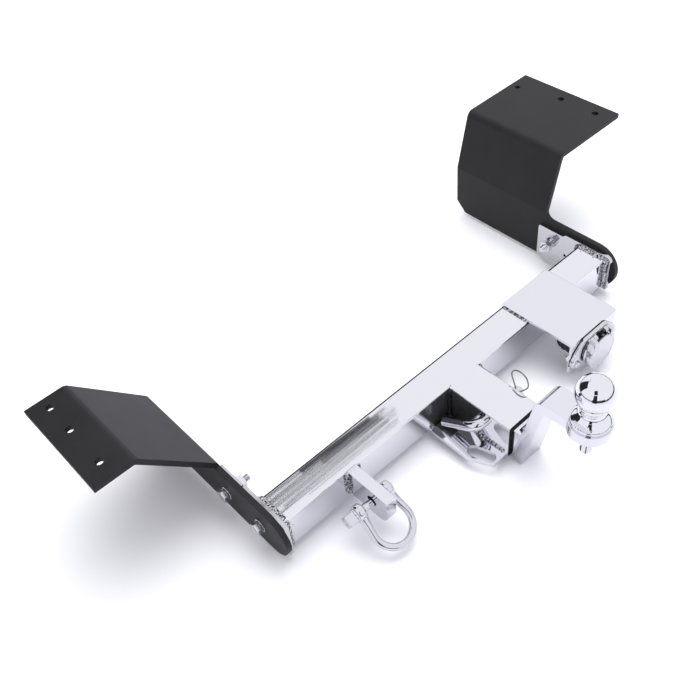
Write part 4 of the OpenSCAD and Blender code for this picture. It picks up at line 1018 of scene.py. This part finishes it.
def socket_fastenings():
    """Two small hexagon screws through the flange, each with a washer and a nut behind the bracket."""
    screws, nuts, washers = (bmesh.new() for _ in range(3))
    z = middle("socket_screws").z
    head_y, nut_y, end_y = SOCKET_BACK - FLANGE_T, low("socket_nuts").y, high("socket_screws").y
    root = nut_y - 1
    for side in (-1, 1):
        seat = Vector((SOCKET.x + side * SCREW_OUT, head_y, z))
        hex_head(screws, seat, -Y, SCREW_FLATS, 3.5)
        skin(screws, turned(seat, Y, [(0, SCREW_R), (root - head_y, SCREW_R)], 24))
        threaded_end(screws, Vector((seat.x, root, z)), Y, end_y - root, SCREW_R, SCREW_PITCH)
        flat_washer(washers, Vector((seat.x, low("socket_washers").y, z)), Y, 5, 2.8, 1)
        hex_nut(nuts, Vector((seat.x, nut_y, z)), Y, SCREW_FLATS, 4, SCREW_R)
    piece("socket_hex_screws", ZINC, "frame", ["socket_screws"], screws)
    piece("socket_hex_nuts", ZINC, "frame", ["socket_nuts"], nuts)
    piece("socket_plain_washers", ZINC, "frame", ["socket_washers"], washers)


# Camera, light and floor

CAMERA_PLACE_MM = (-598.9, -556.2, 952.1)
CAMERA_YAW = 37.46
CAMERA_PITCH = 46.98
CAMERA_ROLL = -7.36
FOCAL_PX = 873.4
IMAGE_PX = 700
SENSOR_MM = 36.0


def photo_camera():
    """The camera stands where the photograph's perspective puts it."""
    yaw, pitch, roll = (math.radians(a) for a in (CAMERA_YAW, CAMERA_PITCH, CAMERA_ROLL))
    ahead = Vector((math.sin(yaw) * math.cos(pitch), math.cos(yaw) * math.cos(pitch), -math.sin(pitch)))
    right = Vector((math.cos(yaw), -math.sin(yaw), 0))
    above = right.cross(ahead)
    side = right * math.cos(roll) + above * math.sin(roll)
    top = above * math.cos(roll) - right * math.sin(roll)
    data = bpy.data.cameras.new("photo_camera")
    data.sensor_width = SENSOR_MM
    data.lens = FOCAL_PX / IMAGE_PX * SENSOR_MM
    data.clip_end = 50
    camera = bpy.data.objects.new("photo_camera", data)
    turn = Matrix((side, top, -ahead)).transposed().to_4x4()
    camera.matrix_world = Matrix.Translation(Vector(CAMERA_PLACE_MM) * MM) @ turn
    bpy.context.scene.collection.objects.link(camera)
    bpy.context.scene.camera = camera


def stage_sheet(name, points, faces, material):
    """A thin sheet of the studio, which is no part of the object."""
    mesh = bpy.data.meshes.new(name)
    mesh.from_pydata(points, [], faces)
    mesh.materials.append(material)
    sheet = bpy.data.objects.new(name, mesh)
    bpy.context.scene.collection.objects.link(sheet)
    return sheet


def flat_panel(name, centre, width, depth, material, facing=(0, 0, 1)):
    w, d = width / 2, depth / 2
    panel = stage_sheet(name, [(-w, -d, 0), (w, -d, 0), (w, d, 0), (-w, d, 0)], [(0, 1, 2, 3)], material)
    turn = Vector(facing).to_track_quat("Z", "Y").to_matrix().to_4x4()
    panel.matrix_world = Matrix.Translation(centre) @ turn
    return panel


BAND_STEP = 7.5
BAND_FOOT = 0.03


def dark_band(name, start, end, radius, height, material):
    """An upright dark band round the room between two bearings, mirrored as dark lines on round edges."""
    steps = max(2, round((end - start) / BAND_STEP))
    bearings = [math.radians(start + (end - start) * k / steps) for k in range(steps + 1)]
    points = [(radius * math.cos(a), radius * math.sin(a), z) for z in (BAND_FOOT, height) for a in bearings]
    faces = [(k, k + 1, k + steps + 2, k + steps + 1) for k in range(steps)]
    return stage_sheet(name, points, faces, material)


FLOOR_M = 12
FLOOR_GAP_M = 0.0003


def white_floor():
    """A white paper sweep: it takes the soft shadow and is otherwise almost as bright as the page."""
    material, tree, shader, spot = patterned_material("white_paper_sweep", "F6F6FB", 0.9, 0.0)
    fibre = add(tree, "TexNoise", Vector=spot, Scale=1 / (3 * MM))
    relief = add(tree, "Bump", Height=fibre, Distance=0.01 * MM, Strength=1.0)
    # The chrome mirrors the paper a little darker than the eye sees it
    mirrored = add(tree, "LightPath").outputs["Is Glossy Ray"]
    shade = add(tree, "ValToRGB", mirrored, stops=((0, "F8F8FC"), (1, "DEDEE3")))
    connect(tree, shader, Base_Color=shade, Normal=relief, Specular_IOR_Level=0.1)
    flat_panel("paper_sweep", (0, 0, cad_box[0][2] - FLOOR_GAP_M), FLOOR_M, FLOOR_M, material)


def studio_world(left, right):
    """The world is white to the camera and to reflections; its light grows from left to right."""
    world = bpy.data.worlds.new("studio")
    bpy.context.scene.world = world
    world.use_nodes = True
    tree = world.node_tree
    path = add(tree, "LightPath").outputs
    seen = add(tree, "Math", path["Is Camera Ray"], path["Is Glossy Ray"], settings={"operation": "MAXIMUM"})
    through = add(tree, "Math", seen, path["Is Transmission Ray"], settings={"operation": "MAXIMUM"})
    across_room = add(tree, "SeparateXYZ", add(tree, "TexCoord").outputs["Generated"]).outputs["X"]
    light = add(tree, "MapRange", Value=across_room, From_Min=-0.8, From_Max=0.8, To_Min=left, To_Max=right)
    strength = add(tree, "MapRange", Value=through, To_Min=light, To_Max=1.0)
    connect(tree, tree.nodes["Background"], Color=srgb("FBFBFF"), Strength=strength)


def soft_box(name, place, aim, size, power):
    data = bpy.data.lights.new(name, "AREA")
    data.shape = "SQUARE"
    data.size = size
    data.energy = power
    lamp = bpy.data.objects.new(name, data)
    direction = Vector(aim) - Vector(place)
    lamp.matrix_world = Matrix.Translation(place) @ direction.to_track_quat("-Z", "Y").to_matrix().to_4x4()
    bpy.context.scene.collection.objects.link(lamp)
    return lamp


STRIP_HEIGHT = 0.98
# Cloth strips over the tube: Y, width, start and end along X in metres, turn in degrees, and shade
STRIPS = ((0.619, 0.004, -0.14, 0.26, 0.0, "202024"), (0.609, 0.005, -0.14, 0.12, 0.4, "202024"),
          (0.607, 0.013, 0.08, 0.33, 0.5, "2A2A2E"), (0.597, 0.006, -0.14, 0.38, -0.6, "0E0E10"),
          (0.587, 0.005, -0.14, 0.36, 0.7, "1C1C20"), (0.590, 0.012, 0.14, 0.35, -0.5, "3C3C40"),
          (0.577, 0.004, -0.14, 0.40, -0.4, "3C3C40"), (0.569, 0.004, -0.14, 0.39, 0.6, "121214"),
          (0.560, 0.004, -0.02, 0.36, -0.8, "202024"), (0.550, 0.003, -0.14, 0.38, 0.5, "1C1C20"),
          (0.540, 0.002, 0.05, 0.37, 0.3, "202024"))


def studio():
    """A large soft box overhead, a white world, and dark cards, bands and strips that the chrome mirrors."""
    studio_world(0.65, 1.3)
    key = soft_box("key_box", (0.6, 0.6, 2.6), (0, 0, 0), 2.4, 60)
    key.visible_glossy = False
    black = new_material("black_card", "101012", 0.9, 0.0)[0]
    dark = new_material("dark_grey_cloth", "2A2A2C", 0.9, 0.0)[0]
    cards = [flat_panel("camera_card", (-0.70, -0.65, 1.12), 0.4, 0.5, black, (0.5, 0.46, -0.74)),
             flat_panel("standing_card", (-0.80, -0.72, 0.42), 0.34, 0.8, black, (0.74, 0.67, 0)),
             flat_panel("back_card", (-0.52, 1.23, 0.85), 1.25, 1.4, black, (0.29, -0.91, -0.3)),
             dark_band("low_skirting", 0, 360, 5.8, 0.45, dark),
             dark_band("near_skirting", 205, 262, 1.7, 0.38, dark),
             dark_band("side_skirting", 262, 335, 1.7, 0.12, dark)]
    for k, (y, width, start, end, turn, shade) in enumerate(STRIPS):
        cloth = new_material(f"strip_cloth_{k}", shade, 0.9, 0.0)[0]
        centre = ((start + end) / 2, y, STRIP_HEIGHT)
        strip = flat_panel(f"strip_card_{k}", centre, end - start, width, cloth, (0, 0, -1))
        strip.matrix_world = strip.matrix_world @ Matrix.Rotation(math.radians(turn), 4, "Z")
        cards.append(strip)
    for card in cards:
        card.visible_camera = False
        card.visible_diffuse = False
        card.visible_shadow = False


bpy.context.scene.view_settings.view_transform = "Standard"
photo_camera()
white_floor()
studio()
dress_frame()
end_welds()
receiver_welds()
fitting_welds()
mount_weld()
receiver_seam()
bracket_fasteners()
ball_on_stud()
ball_fastening()
bent_pin()
spring_clip()
forged_bow()
screw_pin()
cast_housing()
cast_lid()
lid_pin_and_spring()
ribbed_boot()
socket_fastenings()
